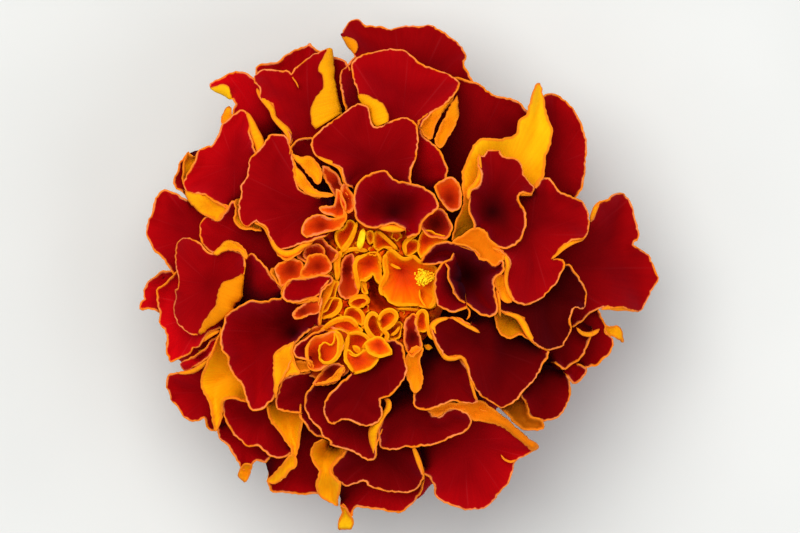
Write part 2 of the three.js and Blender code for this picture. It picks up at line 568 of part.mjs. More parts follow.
function ribbedTube(profile, sides, depth) {
  const vertices = [];
  for (const [z, radius, rib] of profile) {
    for (let k = 0; k < sides; k++) {
      const a = (k * 2 * Math.PI) / sides;
      const r = radius + (rib ? depth * Math.cos(CUP_RIBS * a) : 0);
      vertices.push(new THREE.Vector3(AXIS.x + r * Math.cos(a), AXIS.y + r * Math.sin(a),
        z + (rib === 2 ? 0.7 * Math.cos(CUP_RIBS * a) : 0)));
    }
  }
  const triangles = [];
  const last = profile.length - 1;
  for (let s = 0; s < last; s++) {
    for (let k = 0; k < sides; k++) {
      const a = s * sides + k;
      const b = s * sides + ((k + 1) % sides);
      triangles.push([a, b, b + sides], [a, b + sides, a + sides]);
    }
  }
  const ends = [[0, -1], [last, 1]];
  for (const [s, sense] of ends) {
    const centre = vertices.length;
    vertices.push(new THREE.Vector3(AXIS.x, AXIS.y, profile[s][0]));
    for (let k = 0; k < sides; k++) {
      const a = s * sides + k;
      const b = s * sides + ((k + 1) % sides);
      triangles.push(sense > 0 ? [a, b, centre] : [b, a, centre]);
    }
  }
  return solidFrom(vertices, triangles);
}

function involucre() {
  const outer = ribbedTube([
    [0, PEDUNCLE_RADIUS, 0], [CUP_BOTTOM - 0.6, PEDUNCLE_RADIUS + 0.1, 0],
    [CUP_BOTTOM + 0.4, CUP_FOOT_RADIUS, 0], [CUP_BOTTOM + 3, CUP_RADIUS - 1.5, 1],
    [CUP_BOTTOM + 7, CUP_RADIUS - 0.5, 1], [CUP_TOP - 2, CUP_RADIUS - 0.1, 1],
    [CUP_TOP - 0.4, CUP_RADIUS, 2],
  ], 4 * CUP_RIBS, 0.22);
  const inside = tubeSolid([
    [new THREE.Vector3(AXIS.x, AXIS.y, RECEPTACLE_HEIGHT), CUP_RADIUS - CUP_WALL - 0.6],
    [new THREE.Vector3(AXIS.x, AXIS.y, CUP_TOP + 2), CUP_RADIUS - CUP_WALL],
  ], 16);
  return outer.subtract(inside);
}

// The bloom.

// Where two corners of a solid touch, each is drawn back a little towards its own neighbours.
function easeApart(points, triangles) {
  const neighbours = points.map(() => new Set());
  for (let t = 0; t < triangles.length; t += 3) {
    for (let e = 0; e < 3; e++) neighbours[triangles[t + e]].add(triangles[t + ((e + 1) % 3)]);
  }
  for (let pass = 0; pass < 4; pass++) {
    const seen = new Map();
    const touching = new Set();
    points.forEach((p, i) => {
      const cell = [p.x, p.y, p.z].map((v) => Math.round(v / TOUCH)).join();
      if (seen.has(cell)) touching.add(i).add(seen.get(cell));
      seen.set(cell, i);
    });
    const middles = [...touching].map((i) => {
      const around = [...neighbours[i]].map((j) => points[j]);
      return around.reduce((sum, p) => sum.add(p), new THREE.Vector3())
        .divideScalar(around.length);
    });
    [...touching].forEach((i, k) => {
      points[i].add(middles[k].sub(points[i]).setLength(10 * TOUCH));
    });
  }
  return points;
}

function meshOf(name, solid, color, roughness) {
  const { vertProperties, triVerts, numProp } = solid.getMesh();
  const points = [];
  for (let i = 0; i < vertProperties.length; i += numProp) {
    points.push(new THREE.Vector3().fromArray(vertProperties, i));
  }
  const geometry = new THREE.BufferGeometry().setFromPoints(easeApart(points, triVerts));
  geometry.setIndex([...triVerts]);
  const material = new THREE.MeshStandardMaterial({ color, roughness, metalness: 0 });
  const mesh = new THREE.Mesh(geometry, material);
  mesh.name = name;
  return mesh;
}

const bloom = new THREE.Group();
bloom.name = 'marigold_flower';
bloom.add(meshOf('involucre', involucre(), '#5f7f35', 0.7));
bloom.add(meshOf('ray_florets', rayFlorets(), '#8e0a10', 0.6));
bloom.add(meshOf('disc_florets', discFlorets(), '#ef7a12', 0.6));

export default bloom;
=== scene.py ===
# %% [markdown]
# # A French marigold bloom
#
# This scene dresses one packed part, a double French marigold. Its three solids, the ray petals,
# the florets of the disc and the green cup, are replaced by finer pieces of the same form:
# waved petals with an orange edge and a golden reverse, scoops and stars in the disc, and a
# ribbed cup. First come the measures and the making of a petal, then all the petals, the disc
# and the cup, and last the materials, the light and the camera.

# %% Setup
import math

import bmesh
import bpy
import numpy as np
from mathutils import Matrix, Vector, noise
from mathutils.geometry import delaunay_2d_cdt


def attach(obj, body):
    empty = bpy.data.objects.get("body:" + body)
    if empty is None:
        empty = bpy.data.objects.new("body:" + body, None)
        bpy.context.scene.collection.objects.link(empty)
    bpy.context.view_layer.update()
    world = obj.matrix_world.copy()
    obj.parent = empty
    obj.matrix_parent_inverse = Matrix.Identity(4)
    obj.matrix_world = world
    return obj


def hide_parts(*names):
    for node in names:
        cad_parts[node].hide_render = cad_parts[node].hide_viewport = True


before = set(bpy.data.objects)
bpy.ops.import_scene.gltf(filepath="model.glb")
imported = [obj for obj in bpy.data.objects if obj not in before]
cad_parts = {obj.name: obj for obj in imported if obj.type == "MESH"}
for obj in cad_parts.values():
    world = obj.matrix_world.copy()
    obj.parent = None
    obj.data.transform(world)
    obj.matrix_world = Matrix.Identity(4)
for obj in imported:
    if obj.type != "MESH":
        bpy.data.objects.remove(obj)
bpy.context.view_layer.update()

# %% [markdown]
# ## From pixels to millimetres
#
# The bloom is 56 mm across, which is 522 pixels of the photograph, and the picture looks
# straight down on it, so a pixel gives a place in the plane. Everything is worked out in
# millimetres, which are easier to read and to mend, and becomes metres in the objects.

# %% From pixels to millimetres
MILLIMETRE = 0.001
BLOOM_WIDTH = 56.0
BLOOM_PIXELS = 522.0
MM_PER_PIXEL = BLOOM_WIDTH / BLOOM_PIXELS
BLOOM_MIDDLE = (397.9, 277.6)
DISC_MIDDLE = (375.0, 288.0)


def place(pixel):
    """The place in the plane, in millimetres, of a pixel of the photograph."""
    return np.array([(pixel[0] - BLOOM_MIDDLE[0]) * MM_PER_PIXEL,
                     (BLOOM_MIDDLE[1] - pixel[1]) * MM_PER_PIXEL])


AXIS = place(DISC_MIDDLE)
print(f"a pixel is {MM_PER_PIXEL:.4f} mm, and the disc's axis is at {AXIS.round(2)} mm")

# %% [markdown]
# ## The dome
#
# A flat photograph shows no height. Such a bloom is a low dome, highest on a ring round the
# disc, so the height of every edge comes from one parabola, raised or lowered by the petal's
# own level. A height for each point would be closer to a real bloom, but one formula keeps
# the layers in order, and a level is one number to mend.

# %% The dome
DOME_HEIGHT = 30.0
DOME_RING = 9.0
DOME_FALL = 0.033


def dome_height(points, level):
    """Height of the petal edges over the given places, raised or lowered by a level."""
    radius = np.hypot(points[..., 0] - AXIS[0], points[..., 1] - AXIS[1])
    return DOME_HEIGHT - DOME_FALL * (radius - DOME_RING) ** 2 + level


for radius in (0, 9, 18, 27):
    print(f"{radius} mm from the axis the dome is {dome_height(AXIS + (radius, 0), 0):.1f} mm high")

# %% [markdown]
# ## The petals
#
# The petals of a real bloom are all different, and the eye knows them by their edges, so each
# is drawn after its own edge. One row for each petal: its name, the pixel above its narrow end
# (its throat), its level over or under the dome, its tone of painted light and shade, its kind,
# and the pixels along its free edge. The level decides which petal lies on which.
#
# The tone is painted light and shade for each petal. It multiplies the red of a face, lighter
# or darker as the petal is lit or shaded. On a reverse it sets the hue as well, and goes from
# brown, painted shade below a half, over orange and gold, at 1, to yellow. A material for each
# petal would need 59 of them.
#
# A "face" shows its red side, and a "back" is turned over and shows its golden reverse. The
# others are rolled round their throat, and their kind says how deep. Edges run
# counter-clockwise round a face and clockwise round a back. Where an edge is folded over onto
# the petal, a point has four numbers: the free edge, and the fold opposite it.

# %% The petals
PETALS = [
    ("top_back", (405, 110), -1.6, 0.74, "face", [(473, 81), (464.5, 64), (466.5, 57), (464, 50),
     (455, 39), (442, 30), (430, 24), (419, 25), (403, 24.5), (390, 28.5), (383, 25.5), (365, 24),
     (358, 17.5), (350, 19.5), (344, 28), (341.5, 33.5), (344.2, 36.5, 341, 33.4),
     (350.5, 38.4, 343.6, 39), (356.2, 41, 347, 44), (357.8, 45.4, 350, 48), (356.9, 50.4, 353, 51),
     (355, 54, 354, 54), (353.7, 57.4), (349.3, 61.8), (344.9, 66.9), (341, 71.9), (339.2, 78.2),
     (340.5, 87), (343, 98), (346, 110)]),
    ("top_main", (400, 135), -0.2, 1, "face", [(421, 127), (424, 121.5), (430, 115), (438, 109.5),
     (447, 102.5), (454, 95), (459, 89), (459, 82), (454, 77), (444, 72), (430, 67), (421, 63),
     (410, 54), (405, 50), (390, 48.5), (375, 51), (364, 54), (354, 60), (350.5, 66), (352, 74),
     (355, 84), (358, 93), (364, 95, 360, 100), (375, 99, 364, 106), (384, 106, 369, 113),
     (388.5, 116, 371, 121), (388.5, 122, 377, 127)]),
    ("top_right_small", (425, 165), -0.6, 1.1, "face", [(446, 181), (447, 168), (444, 159),
     (438, 149), (430, 142), (423, 135), (420, 128), (419, 120)]),
    ("top_scoop", (372, 165), 0.8, 0.74, "face", [(411, 185), (410.5, 172), (414.5, 164),
     (417, 150), (418.5, 136), (417.5, 128), (414, 122), (408, 118.5), (398, 118.5), (388, 122.5),
     (377, 127), (371.5, 123), (370, 114), (368, 107), (362, 104), (354, 105.5), (346, 111),
     (333, 121), (319, 131), (313.5, 137), (311.5, 146), (314, 154), (324, 161), (333, 165),
     (341, 168.5), (343, 178), (346, 184), (352, 187)]),
    ("top_cup", (394, 213), 1.5, 1.15, "goblet", [(407, 238), (413, 236), (419, 233), (421, 228),
     (423, 221), (428, 216), (435, 211), (438.5, 206), (437.5, 200.5), (433, 194.3), (423, 187.5),
     (408, 183), (398, 181.5), (393, 178.5), (389, 174.5), (385, 171), (375, 172.5), (365, 176.8),
     (357, 185), (354, 195), (354.5, 205), (355.5, 215), (357, 221), (362, 225), (367, 227),
     (375, 228), (380, 227), (387, 225), (393, 224), (400, 226), (405, 229)]),
    ("upper_right_back", (470, 160), -1.8, 0.7, "face", [(535, 125), (530, 112), (527, 110),
     (522, 104), (513, 99), (500, 96), (488, 91), (482, 85), (473, 81.5), (454, 76.5), (445, 76)]),
    ("upper_right_turned", (490, 215), -0.4, 1.45, "back", [(452, 240), (455, 225), (460, 212),
     (463, 203), (463, 193), (462, 180), (462.5, 170), (467, 160), (471, 150), (474, 145),
     (482, 138.5), (494, 139), (502, 139), (510, 136.5), (516, 134), (518, 124), (520, 119),
     (527, 114), (527.5, 109), (532, 97), (535, 86), (538, 81.5), (541, 83.5), (543.5, 95),
     (546, 107), (548, 118), (552, 126), (553, 132), (551, 143), (545, 160), (545, 168), (543, 177),
     (535, 187)]),
    ("upper_right_scoop", (492, 212), 0.6, 0.65, "bowl", [(485.5, 233), (489, 241), (494, 246),
     (503, 248.5), (512, 246), (520, 240), (524, 232), (526, 220), (525, 212), (520, 203),
     (518, 197), (521, 193), (531, 195.5), (534, 187.5), (530, 183), (524, 175), (520, 162),
     (512, 157), (503, 156.5), (500, 151.5), (492, 150), (486, 151), (483.5, 155), (478, 156),
     (477.5, 164), (481, 178), (477, 186), (468, 193), (469, 203), (468.5, 212), (473, 220),
     (473.5, 228)]),
    ("upper_right_oval", (555, 165), -2.2, 0.85, "face", [(576, 197), (580, 192), (585, 178),
     (586, 160), (588, 148), (586, 136), (580, 118), (570, 103), (560, 95.5), (553, 92.5),
     (545, 94.5), (535, 105)]),
    ("right_cup", (467, 276), 1.0, 0.55, "cup", [(421, 261), (425, 254), (432, 247), (440, 242.5),
     (447, 241.5), (455, 243), (466, 246), (475, 250), (479, 254), (480, 259), (484, 258.5),
     (489, 262), (494, 266), (498, 262), (501, 259.5), (503.5, 266), (502.5, 273), (497, 275.5),
     (494, 279), (493.5, 285), (494.5, 293), (496.5, 302), (497, 310), (494, 315), (488, 316.5),
     (479, 314), (474, 309.5), (468, 304), (462, 302), (457, 298), (453, 291), (450.5, 283),
     (447, 276), (448, 267), (444, 263), (436, 264), (429, 265), (423, 265)]),
    ("right_cup_crescent", (456, 282), 1.3, 0.7, "rolled", [(453.5, 253), (449, 260), (441, 263.5),
     (437, 270), (435, 280), (434.5, 290), (435, 298), (438, 305), (446, 310), (453, 312),
     (460, 310.5), (467, 307.5)]),
    ("right_two_lobed", (530, 235), 0.2, 0.85, "face", [(494, 249), (500, 251.5), (506, 256),
     (509, 265), (506, 274), (506.5, 284), (509, 293), (514, 301.5), (524, 305), (533, 303),
     (542, 298), (550, 290), (557, 282), (561.5, 272), (565.5, 265), (560, 258.5), (552.5, 259),
     (557, 255), (560, 249), (566, 244), (574, 240), (585, 239), (588, 232), (589.5, 222),
     (588.5, 213), (585, 204), (576, 198), (567, 194.5), (561, 192.5), (554, 185), (551, 179),
     (545, 177), (535, 187)]),
    ("right_lower", (535, 300), -0.6, 0.2, "face", [(504, 274), (496.5, 275), (494, 281),
     (495, 293), (497.5, 305), (501.5, 312), (513, 314.5), (522, 318), (526, 328), (534, 343),
     (544, 350), (555, 349), (563, 346), (567, 338), (571.5, 330), (570.5, 320), (573, 310),
     (575.5, 306.5), (581, 309.5), (585.5, 306.5), (587, 296), (585, 288), (580, 279), (575, 272),
     (570.5, 265.5), (566, 265)]),
    ("right_lower_turned", (515, 318), -0.9, 1.1, "back", [(530, 340), (520, 335), (508, 338),
     (500, 334), (496, 325), (495, 315)]),
    ("far_right", (545, 270), -2.2, 0.8, "face", [(573, 327), (578, 324), (589, 315), (598, 309),
     (608, 307), (617, 309), (624, 308), (636, 312), (642, 311), (647, 304), (652, 293), (660, 280),
     (659, 275), (654, 263), (650, 255), (640, 248), (634, 243), (639.5, 239), (638, 224),
     (635, 211), (630, 199), (624, 193), (615, 193), (609, 199), (600, 201), (596, 210), (593, 219),
     (591, 221)]),
    ("lower_right_outer", (575, 325), -2.6, 0.7, "face", [(586, 368), (598, 365), (604, 360),
     (610, 354), (613, 347), (614, 341), (609, 334), (605, 323), (599, 311)]),
    ("lower_right_behind", (560, 335), -2.2, 0.6, "face", [(555, 363), (564, 369), (572, 365),
     (578, 361), (584, 354), (586, 349), (591, 339), (593, 333)]),
    # Petals at the bottom of the bloom
    ("lower_right_back", (540, 392), -2.4, 0.6, "face", [(521, 396), (527, 406), (529, 414),
     (533, 419), (543, 421), (550, 420), (559, 418), (563, 412), (567, 406), (570, 398),
     (571.5, 390), (570, 384), (568.5, 376)]),
    ("lower_right_back_turned", (515, 400), -2.0, 0.2, "back", [(527, 404), (531, 416), (543, 421),
     (544, 429), (527, 430), (520, 428), (504, 411)]),
    ("lower_right_main", (475, 345), 0.6, 0.42, "face", [(470, 324), (455, 317), (443, 318),
     (433, 325), (432, 334), (438, 346), (446, 357), (462, 357), (470, 378), (479, 394), (486, 399),
     (494, 404), (500, 408), (508, 405), (516, 400), (521, 395), (528, 386), (534, 380), (539, 372),
     (543, 364), (547, 357), (548.5, 351.5)]),
    ("lower_middle", (442, 375), 0.0, 0.5, "face", [(414, 393), (413.5, 401), (416, 407),
     (421, 410), (429, 409), (438, 406), (446, 403), (454, 401), (465, 403), (474, 403), (478, 401),
     (476, 395), (473, 387), (470, 375), (468, 369), (464, 363), (460, 358)]),
    ("lower_shelf", (418, 412), -0.9, 0.6, "face", [(382, 419), (379, 430), (378.5, 440),
     (381, 447), (388, 449), (399, 449), (405, 447), (415, 447), (424, 445.5), (434, 444.5),
     (443, 441), (452, 437), (460, 434), (468, 429), (471, 423), (471.5, 418), (467, 413),
     (460, 409), (452, 408), (446, 410), (442, 415), (438, 416.5), (433, 415), (429, 410)]),
    ("lower_right_big", (465, 440), -1.8, 1.15, "face", [(424, 474), (430, 478), (434, 485),
     (434, 493), (440, 500), (450, 505), (463, 510), (478, 510), (487, 508), (495, 500), (502, 491),
     (509, 483), (512, 475), (514, 468), (516, 461), (522, 458), (530, 454), (540, 447), (534, 444),
     (525, 438), (515, 430), (504, 422), (492, 414), (480, 409)]),
    ("bottom_inner", (385, 355), 0.9, 0.5, "face", [(351, 374), (344, 380), (333, 390), (327, 398),
     (324, 408), (324.5, 416), (329, 422), (335, 424), (340, 420), (346, 419), (354, 422),
     (362, 425), (369, 426), (376, 423), (382, 417), (383, 414), (382, 408), (380.5, 402),
     (381, 398), (389, 396), (396, 390), (401, 383), (405, 376), (407.5, 369), (406, 361),
     (404.5, 354), (401.5, 344), (395, 340), (386, 340)]),
    ("bottom_left_inner", (348, 410), -0.2, 0.55, "face", [(314, 384), (309, 390), (305, 398),
     (304.5, 406), (308, 414), (311, 420), (316, 425), (320, 430), (323, 436), (329, 440),
     (331, 445), (335, 446), (344, 449), (352, 451), (358, 455), (365, 459), (370, 460), (375, 459),
     (376, 454), (376, 450), (378, 440), (382, 430)]),
    ("bottom_turned", (328, 455), -1.2, 1, "back", [(346, 450), (340, 458), (332, 466),
     (331.5, 472), (335, 477), (341, 483), (340, 490), (338, 497), (338, 506), (330, 503),
     (323, 499), (317, 492), (316, 484), (318, 478), (319, 471), (315, 465), (311.5, 458),
     (311, 451), (314, 444), (323, 439)]),
    ("bottom_middle", (385, 450), -1.4, 0.5, "face", [(346, 450), (340, 458), (332, 466),
     (332, 472), (335, 477), (341, 483), (347, 487), (355, 484), (364, 481), (368, 485), (374, 488),
     (380, 490), (390, 492), (405, 493), (411, 492), (417, 489), (421, 483), (424, 477), (422, 471),
     (420, 463), (417, 456), (414, 449)]),
    ("bottom_outer", (385, 475), -2.4, 1, "face", [(340, 506), (346, 510), (353, 518), (354, 508),
     (366, 508), (376, 510), (385, 511), (394, 513), (401, 513), (407, 509), (413, 504), (417, 498),
     (422, 492), (423, 483)]),
    # Petals at the left of the bloom
    ("left_main", (294, 333), 0.6, 1, "face", [(320, 325), (320, 300), (323, 290), (334, 280),
     (330, 275), (310, 278), (290, 280), (282, 290), (282, 298), (273, 298.5), (267, 301),
     (260, 301.5), (252, 300), (245, 303), (235, 309.5), (226, 316), (224, 323), (222, 330),
     (221, 338), (221, 345), (223, 351), (227, 356), (229, 364), (231, 371), (235, 377), (241, 383),
     (245, 391), (246.5, 400), (249, 406), (253, 410), (257, 411), (262, 409), (268, 404),
     (274, 398), (276.5, 390), (285, 375), (292, 358), (294, 347), (300, 338), (310, 330)]),
    ("left_main_lobe", (306, 289), 1.0, 1, "dish", [(331, 276), (325, 275), (315, 276),
     (305, 277.5), (295, 279), (288, 283), (283, 290), (283, 297), (289, 302), (298, 302),
     (310, 299), (321, 294), (324, 287), (329, 281)]),
    ("left_low_corner", (318, 350), 0.9, 0.6, "face", [(324, 329), (312, 334), (301, 341),
     (294, 349), (295, 355), (302, 359), (312, 361)]),
    ("left_small", (308, 393), -0.3, 0.7, "face", [(310, 371), (300, 373), (290, 375), (284, 378),
     (280, 386), (278, 394), (275, 400), (276, 406), (280, 410), (287, 411.5), (294, 412),
     (300, 413)]),
    ("lower_left_turned", (285, 405), -1.0, 1, "back", [(301, 414), (303, 425), (300, 432),
     (300, 442), (298, 451), (296, 457), (297, 460), (295, 467), (290, 471), (284, 478), (278, 483),
     (273, 484), (266, 481), (273, 475), (278, 469), (284, 462), (289, 456), (292, 453), (291, 448),
     (286, 442), (282, 435), (277, 428), (271, 422), (268, 413), (267, 405)]),
    ("lower_left_mid", (262, 415), -1.8, 0.9, "face", [(245, 399.5), (235, 398), (228, 397),
     (224, 399), (223, 408), (225, 418), (229, 428), (235, 436), (241, 441), (246, 446), (252, 447),
     (258, 446), (263, 450), (268, 455), (272, 457), (280, 458), (288, 456), (291, 453)]),
    ("left_big_turned", (248, 374), -0.7, 1.25, "back", [(247, 402), (238, 399.5), (229, 398),
     (224, 400), (223, 409), (222, 419), (218, 427), (214.5, 432), (213, 423), (211, 414),
     (210, 404), (206, 397), (203, 391), (201, 384), (201, 377), (204, 370), (209, 358), (213, 350),
     (216, 342), (220, 334), (221, 328)]),
    ("left_lower_back", (215, 392), -2.4, 1, "face", [(210, 358), (206, 362), (200, 366),
     (194, 371), (186, 373), (177, 373), (168, 375), (165.5, 380), (166, 387), (169, 394),
     (170, 400), (175, 405), (179, 411), (183, 417), (188, 421), (194, 422), (200, 420), (204, 418),
     (206, 426), (210, 431), (214, 431)]),
    ("left_outer", (210, 310), -1.8, 1.6, "face", [(177, 271), (173, 275), (168, 281), (162, 285),
     (157, 289), (157, 296), (157.5, 305), (159, 312), (158.5, 319), (160, 325), (164, 330),
     (167, 337), (166, 345), (166, 352), (168, 358), (170, 363), (178, 359), (184, 357), (190, 354),
     (193, 349), (200, 346), (205, 338), (209, 333), (215, 330), (220, 328)]),
    ("left_outermost", (185, 285), -3.2, 1.5, "face", [(172, 271), (163, 271), (156, 275),
     (150, 279), (146, 284), (143.5, 290), (143, 296), (144.5, 299), (140, 301), (138.5, 306),
     (139, 309), (143, 310), (150, 309), (157, 311)]),
    ("left_upper_outer", (200, 235), -2.0, 1.15, "face", [(187, 200), (178, 195), (171, 191),
     (165, 189), (160, 192), (155, 199), (152.5, 207), (150, 216), (146.5, 224), (145.5, 231),
     (146.5, 237), (150, 244), (154, 251), (161, 257), (166, 263), (170, 269), (173, 274)]),
    ("left_under", (284, 258), -1.4, 1, "face", [(243, 206), (237, 204), (234.4, 201),
     (230.8, 202.8), (226.5, 210), (223, 216), (219, 221), (212.2, 218.3), (205.6, 216.2),
     (202.2, 219), (200, 227), (200, 236), (203.5, 245.5), (209, 251), (216, 254), (225, 256),
     (240, 258)]),
    ("left_bone", (212, 285), -0.4, 0.88, "dish", [(245.8, 266), (245, 258), (241, 252.5),
     (235, 250), (228.3, 249.5), (219, 252.3), (211, 253.5), (206, 248.5), (201.5, 244),
     (193.5, 239), (186, 238), (181, 239), (177, 243), (176, 250), (175, 258), (176, 266),
     (177.5, 273), (179, 282), (178, 287), (175.5, 290), (176.5, 297), (174, 305), (173.5, 311),
     (176, 319), (180, 326), (186, 331), (190, 335), (196, 335.5), (199, 331.5, 201.5, 333),
     (204, 322, 208, 328), (210.5, 313, 221, 319.5), (214.5, 308, 231, 312.5),
     (218, 297, 234.5, 304), (219.5, 290, 241, 298.5), (223, 283, 242, 291),
     (231, 279.5, 242.5, 283.5), (239, 276.5, 243.5, 278), (244.5, 273)]),
    ("left_wedge", (262, 285), -0.9, 1, "face", [(283, 290), (279, 283), (274, 279), (270, 272),
     (264, 265), (258, 259), (252, 253), (247, 256), (243, 262)]),
    # Petals at the upper left of the bloom
    ("upper_left_main", (312, 160), -0.9, 0.95, "face", [(315.8, 129.4, 341, 113.6),
     (312, 124, 340, 111), (310.7, 117, 339.8, 108), (311.4, 111, 339, 103),
     (312.6, 103.5, 337, 98), (316.4, 96.5, 336, 92), (322.8, 89, 334.6, 84),
     (324, 81.4, 333.8, 78), (322.8, 76.3, 333.5, 73), (319.6, 72.5, 333, 66),
     (318.3, 68.1, 332.8, 62), (322.1, 59.3, 332, 55), (327.2, 49.2, 330.3, 48), (319, 51.1),
     (312.6, 53.6), (306.3, 58.6), (300, 63.7), (293.7, 68.7), (291.8, 73.2), (288, 70.6),
     (277.9, 70), (268.4, 68.1), (260.8, 69.4), (255.8, 73.8), (253.3, 79), (254.5, 82.6),
     (258.3, 87), (259.6, 97.2), (260.8, 100.3), (267.2, 102.2), (272.2, 104.8), (273.5, 109.2),
     (271.6, 113.6), (272.2, 117.4), (275.4, 121.8), (280.4, 125.6), (288, 132), (290, 139),
     (289, 147)]),
    ("upper_left_behind", (300, 85), -1.8, 1.15, "face", [(322, 52), (316, 48.5), (311.5, 46),
     (309.5, 41), (306, 44.5), (294, 49.8), (284, 55.5), (275, 62), (262, 63), (256.5, 65.6),
     (255, 73)]),
    ("upper_left_pointed", (258, 118), -2.0, 1.6, "face", [(264, 92), (254, 78), (248, 73.5),
     (236, 71), (225, 74), (216, 79), (208, 84), (213, 86.5, 211, 88), (220, 84, 218, 92),
     (228, 86, 226, 96), (230, 93, 229, 98), (232, 99), (235, 104), (233, 110), (232, 116)]),
    ("upper_left_big", (235, 165), -1.0, 1.3, "face", [(256, 153), (254, 148), (252, 140),
     (250, 130), (251, 119), (246, 112), (240, 109), (234, 114), (228, 119), (222, 124), (219, 132),
     (215, 140), (213, 144.5), (206, 146), (200, 149), (196, 154), (195, 160), (190, 168),
     (186, 176), (183, 182), (184, 188), (187, 193), (200, 194), (207, 196), (213, 202), (220, 204),
     (226, 208)]),
    ("upper_left_inner", (316, 208), 0.2, 0.85, "face", [(320, 197), (313, 195.5), (308, 194),
     (300, 189), (296, 182), (295, 173), (294, 164), (293, 154), (290, 145), (288, 139), (284, 135),
     (277, 134), (270, 135), (266, 140), (262, 146), (257, 152), (251, 157), (249, 162), (248, 172),
     (246, 179), (240, 187), (242, 193), (240, 200), (239, 208), (238.5, 215), (240, 221),
     (244, 225), (248, 227), (255, 222), (262, 225), (267, 230), (270, 237), (273, 244), (276, 249),
     (286, 249), (294, 246), (304, 243.5), (315, 240), (325, 236)]),
    ("upper_left_inner_turned", (290, 240), -0.1, 1, "back", [(304, 249), (300, 253), (295, 257),
     (287, 260), (280, 257), (276, 252), (272, 245)]),
    ("upper_left_tuck", (314, 168), -0.2, 0.6, "face", [(290, 154), (291.5, 146), (296, 141),
     (303, 139), (309, 137.5), (314, 139)]),
    # The outermost tips
    ("lower_left_outer", (240, 440), -2.8, 1, "face", [(217, 429), (218, 436), (223, 442),
     (228, 447), (232, 453), (236, 459), (240, 466), (242, 471), (250, 470), (253, 463), (259, 461),
     (265, 463), (270, 458)]),
    ("bottom_left_outer", (318, 428), -2.6, 1, "face", [(267, 481), (268, 485), (271, 491),
     (275, 493), (286, 493), (295, 494), (304, 495), (318, 494)]),
    ("upper_left_strip", (198, 170), -1.5, 1, "back", [(183, 184), (182, 176), (183, 166),
     (185, 157), (187.5, 151), (192, 156)]),
    ("upper_left_inner_strip", (246, 212), -0.05, 1.6, "back", [(262, 231), (253, 230),
     (246, 229.5), (240, 227), (235, 223), (234, 218), (236, 210), (234.5, 203), (237, 200)]),
    ("left_wedge_turned", (290, 277), -0.7, 0.72, "back", [(282, 287), (276, 281), (271, 270),
     (288, 266)]),
    ("upper_left_gap", (345, 90), -1.7, 1, "face", [(350, 70), (347, 63), (343, 60), (338, 57),
     (333, 56), (330, 60)]),
    ("bottom_left_sliver", (325, 405), -0.9, 0.6, "face", [(300.5, 405), (300, 415), (303, 421),
     (309, 429), (316, 435), (323, 437)]),
    ("lower_right_lobe", (562, 360), -3.0, 1, "face", [(568, 376), (572, 383), (580, 382),
     (585, 376), (587, 369), (578, 364)]),
    ("left_strip", (200, 357), -2.2, 1.3, "dish", [(220, 334), (211, 341), (205, 348),
     (195.7, 355.5), (186.3, 359.7), (179.3, 364.3), (184, 370.5), (193.3, 367.5), (203, 361.5),
     (209, 357.3), (215, 348), (220, 341)]),
    ("upper_left_sliver", (200, 178), -2.2, 1, "face", [(186, 154), (180, 162), (177, 170),
     (174, 177), (173.5, 184), (177, 189), (182, 191)]),
]
print(len(PETALS), "petals drawn after", sum(len(petal[-1]) for petal in PETALS), "edge points")

# %% [markdown]
# ## A smooth edge through the readings
#
# The readings are 5 to 12 pixels apart, and a petal's edge is a smooth, waved line. Straight
# lines between them would look cut with scissors, and Blender's curves need handles at every
# point. This curve goes through all the points by itself: each piece of it blends the
# straight ways between four readings. Its steps grow with the root of their distance, so that
# it makes no loops where they are close together.

# %% A smooth edge through the readings
def on_the_way(t, start, end, first, last):
    """The point at t on the straight way from the first point to the last one."""
    return (end - t) / (end - start) * first + (t - start) / (end - start) * last


def smooth_curve(points, per_span=10):
    """Points along a smooth curve that goes through all the given points."""
    p = np.asarray(points, float)
    p = np.vstack([2 * p[0] - p[1], p, 2 * p[-1] - p[-2]])
    gaps = np.maximum(np.linalg.norm(np.diff(p[:, :2], axis=0), axis=1), 1e-3)
    knots = np.concatenate([[0], np.cumsum(gaps ** 0.5)])
    spans = []
    for i in range(1, len(p) - 2):
        t0, t1, t2, t3 = knots[i - 1:i + 3]
        t = np.linspace(t1, t2, per_span, endpoint=False)[:, None]
        a = on_the_way(t, t0, t1, p[i - 1], p[i])
        b = on_the_way(t, t1, t2, p[i], p[i + 1])
        c = on_the_way(t, t2, t3, p[i + 1], p[i + 2])
        spans.append(on_the_way(t, t1, t2, on_the_way(t, t0, t2, a, b),
                                on_the_way(t, t1, t3, b, c)))
    return np.vstack([*spans, p[-2:-1]])


print("three readings become", len(smooth_curve([(0, 0), (3, 1), (5, 4)])), "points")

# %% [markdown]
# ## Even steps and a crinkle
#
# The curve is walked in even steps, so that the triangles along an edge are of one size. A
# folded edge carries two curves, the free edge and the fold; elsewhere the two are the same.
# Real edges are finely crinkled: two sine waves whose lengths don't match push the line to
# and fro, and never look like a pattern.

# %% Even steps and a crinkle
EDGE_SPACING = 0.34
FEWEST_STEPS = 6
CRINKLE = 0.05


def length_along(line):
    """How far along a line each of its points is."""
    return np.concatenate([[0], np.cumsum(np.linalg.norm(np.diff(line, axis=0), axis=1))])


def sideways(line):
    """A step of 1 to the left of a line, at each of its points."""
    tangent = np.gradient(line, axis=0)
    tangent /= np.maximum(np.linalg.norm(tangent, axis=1, keepdims=True), 1e-9)
    return np.column_stack([-tangent[:, 1], tangent[:, 0]])


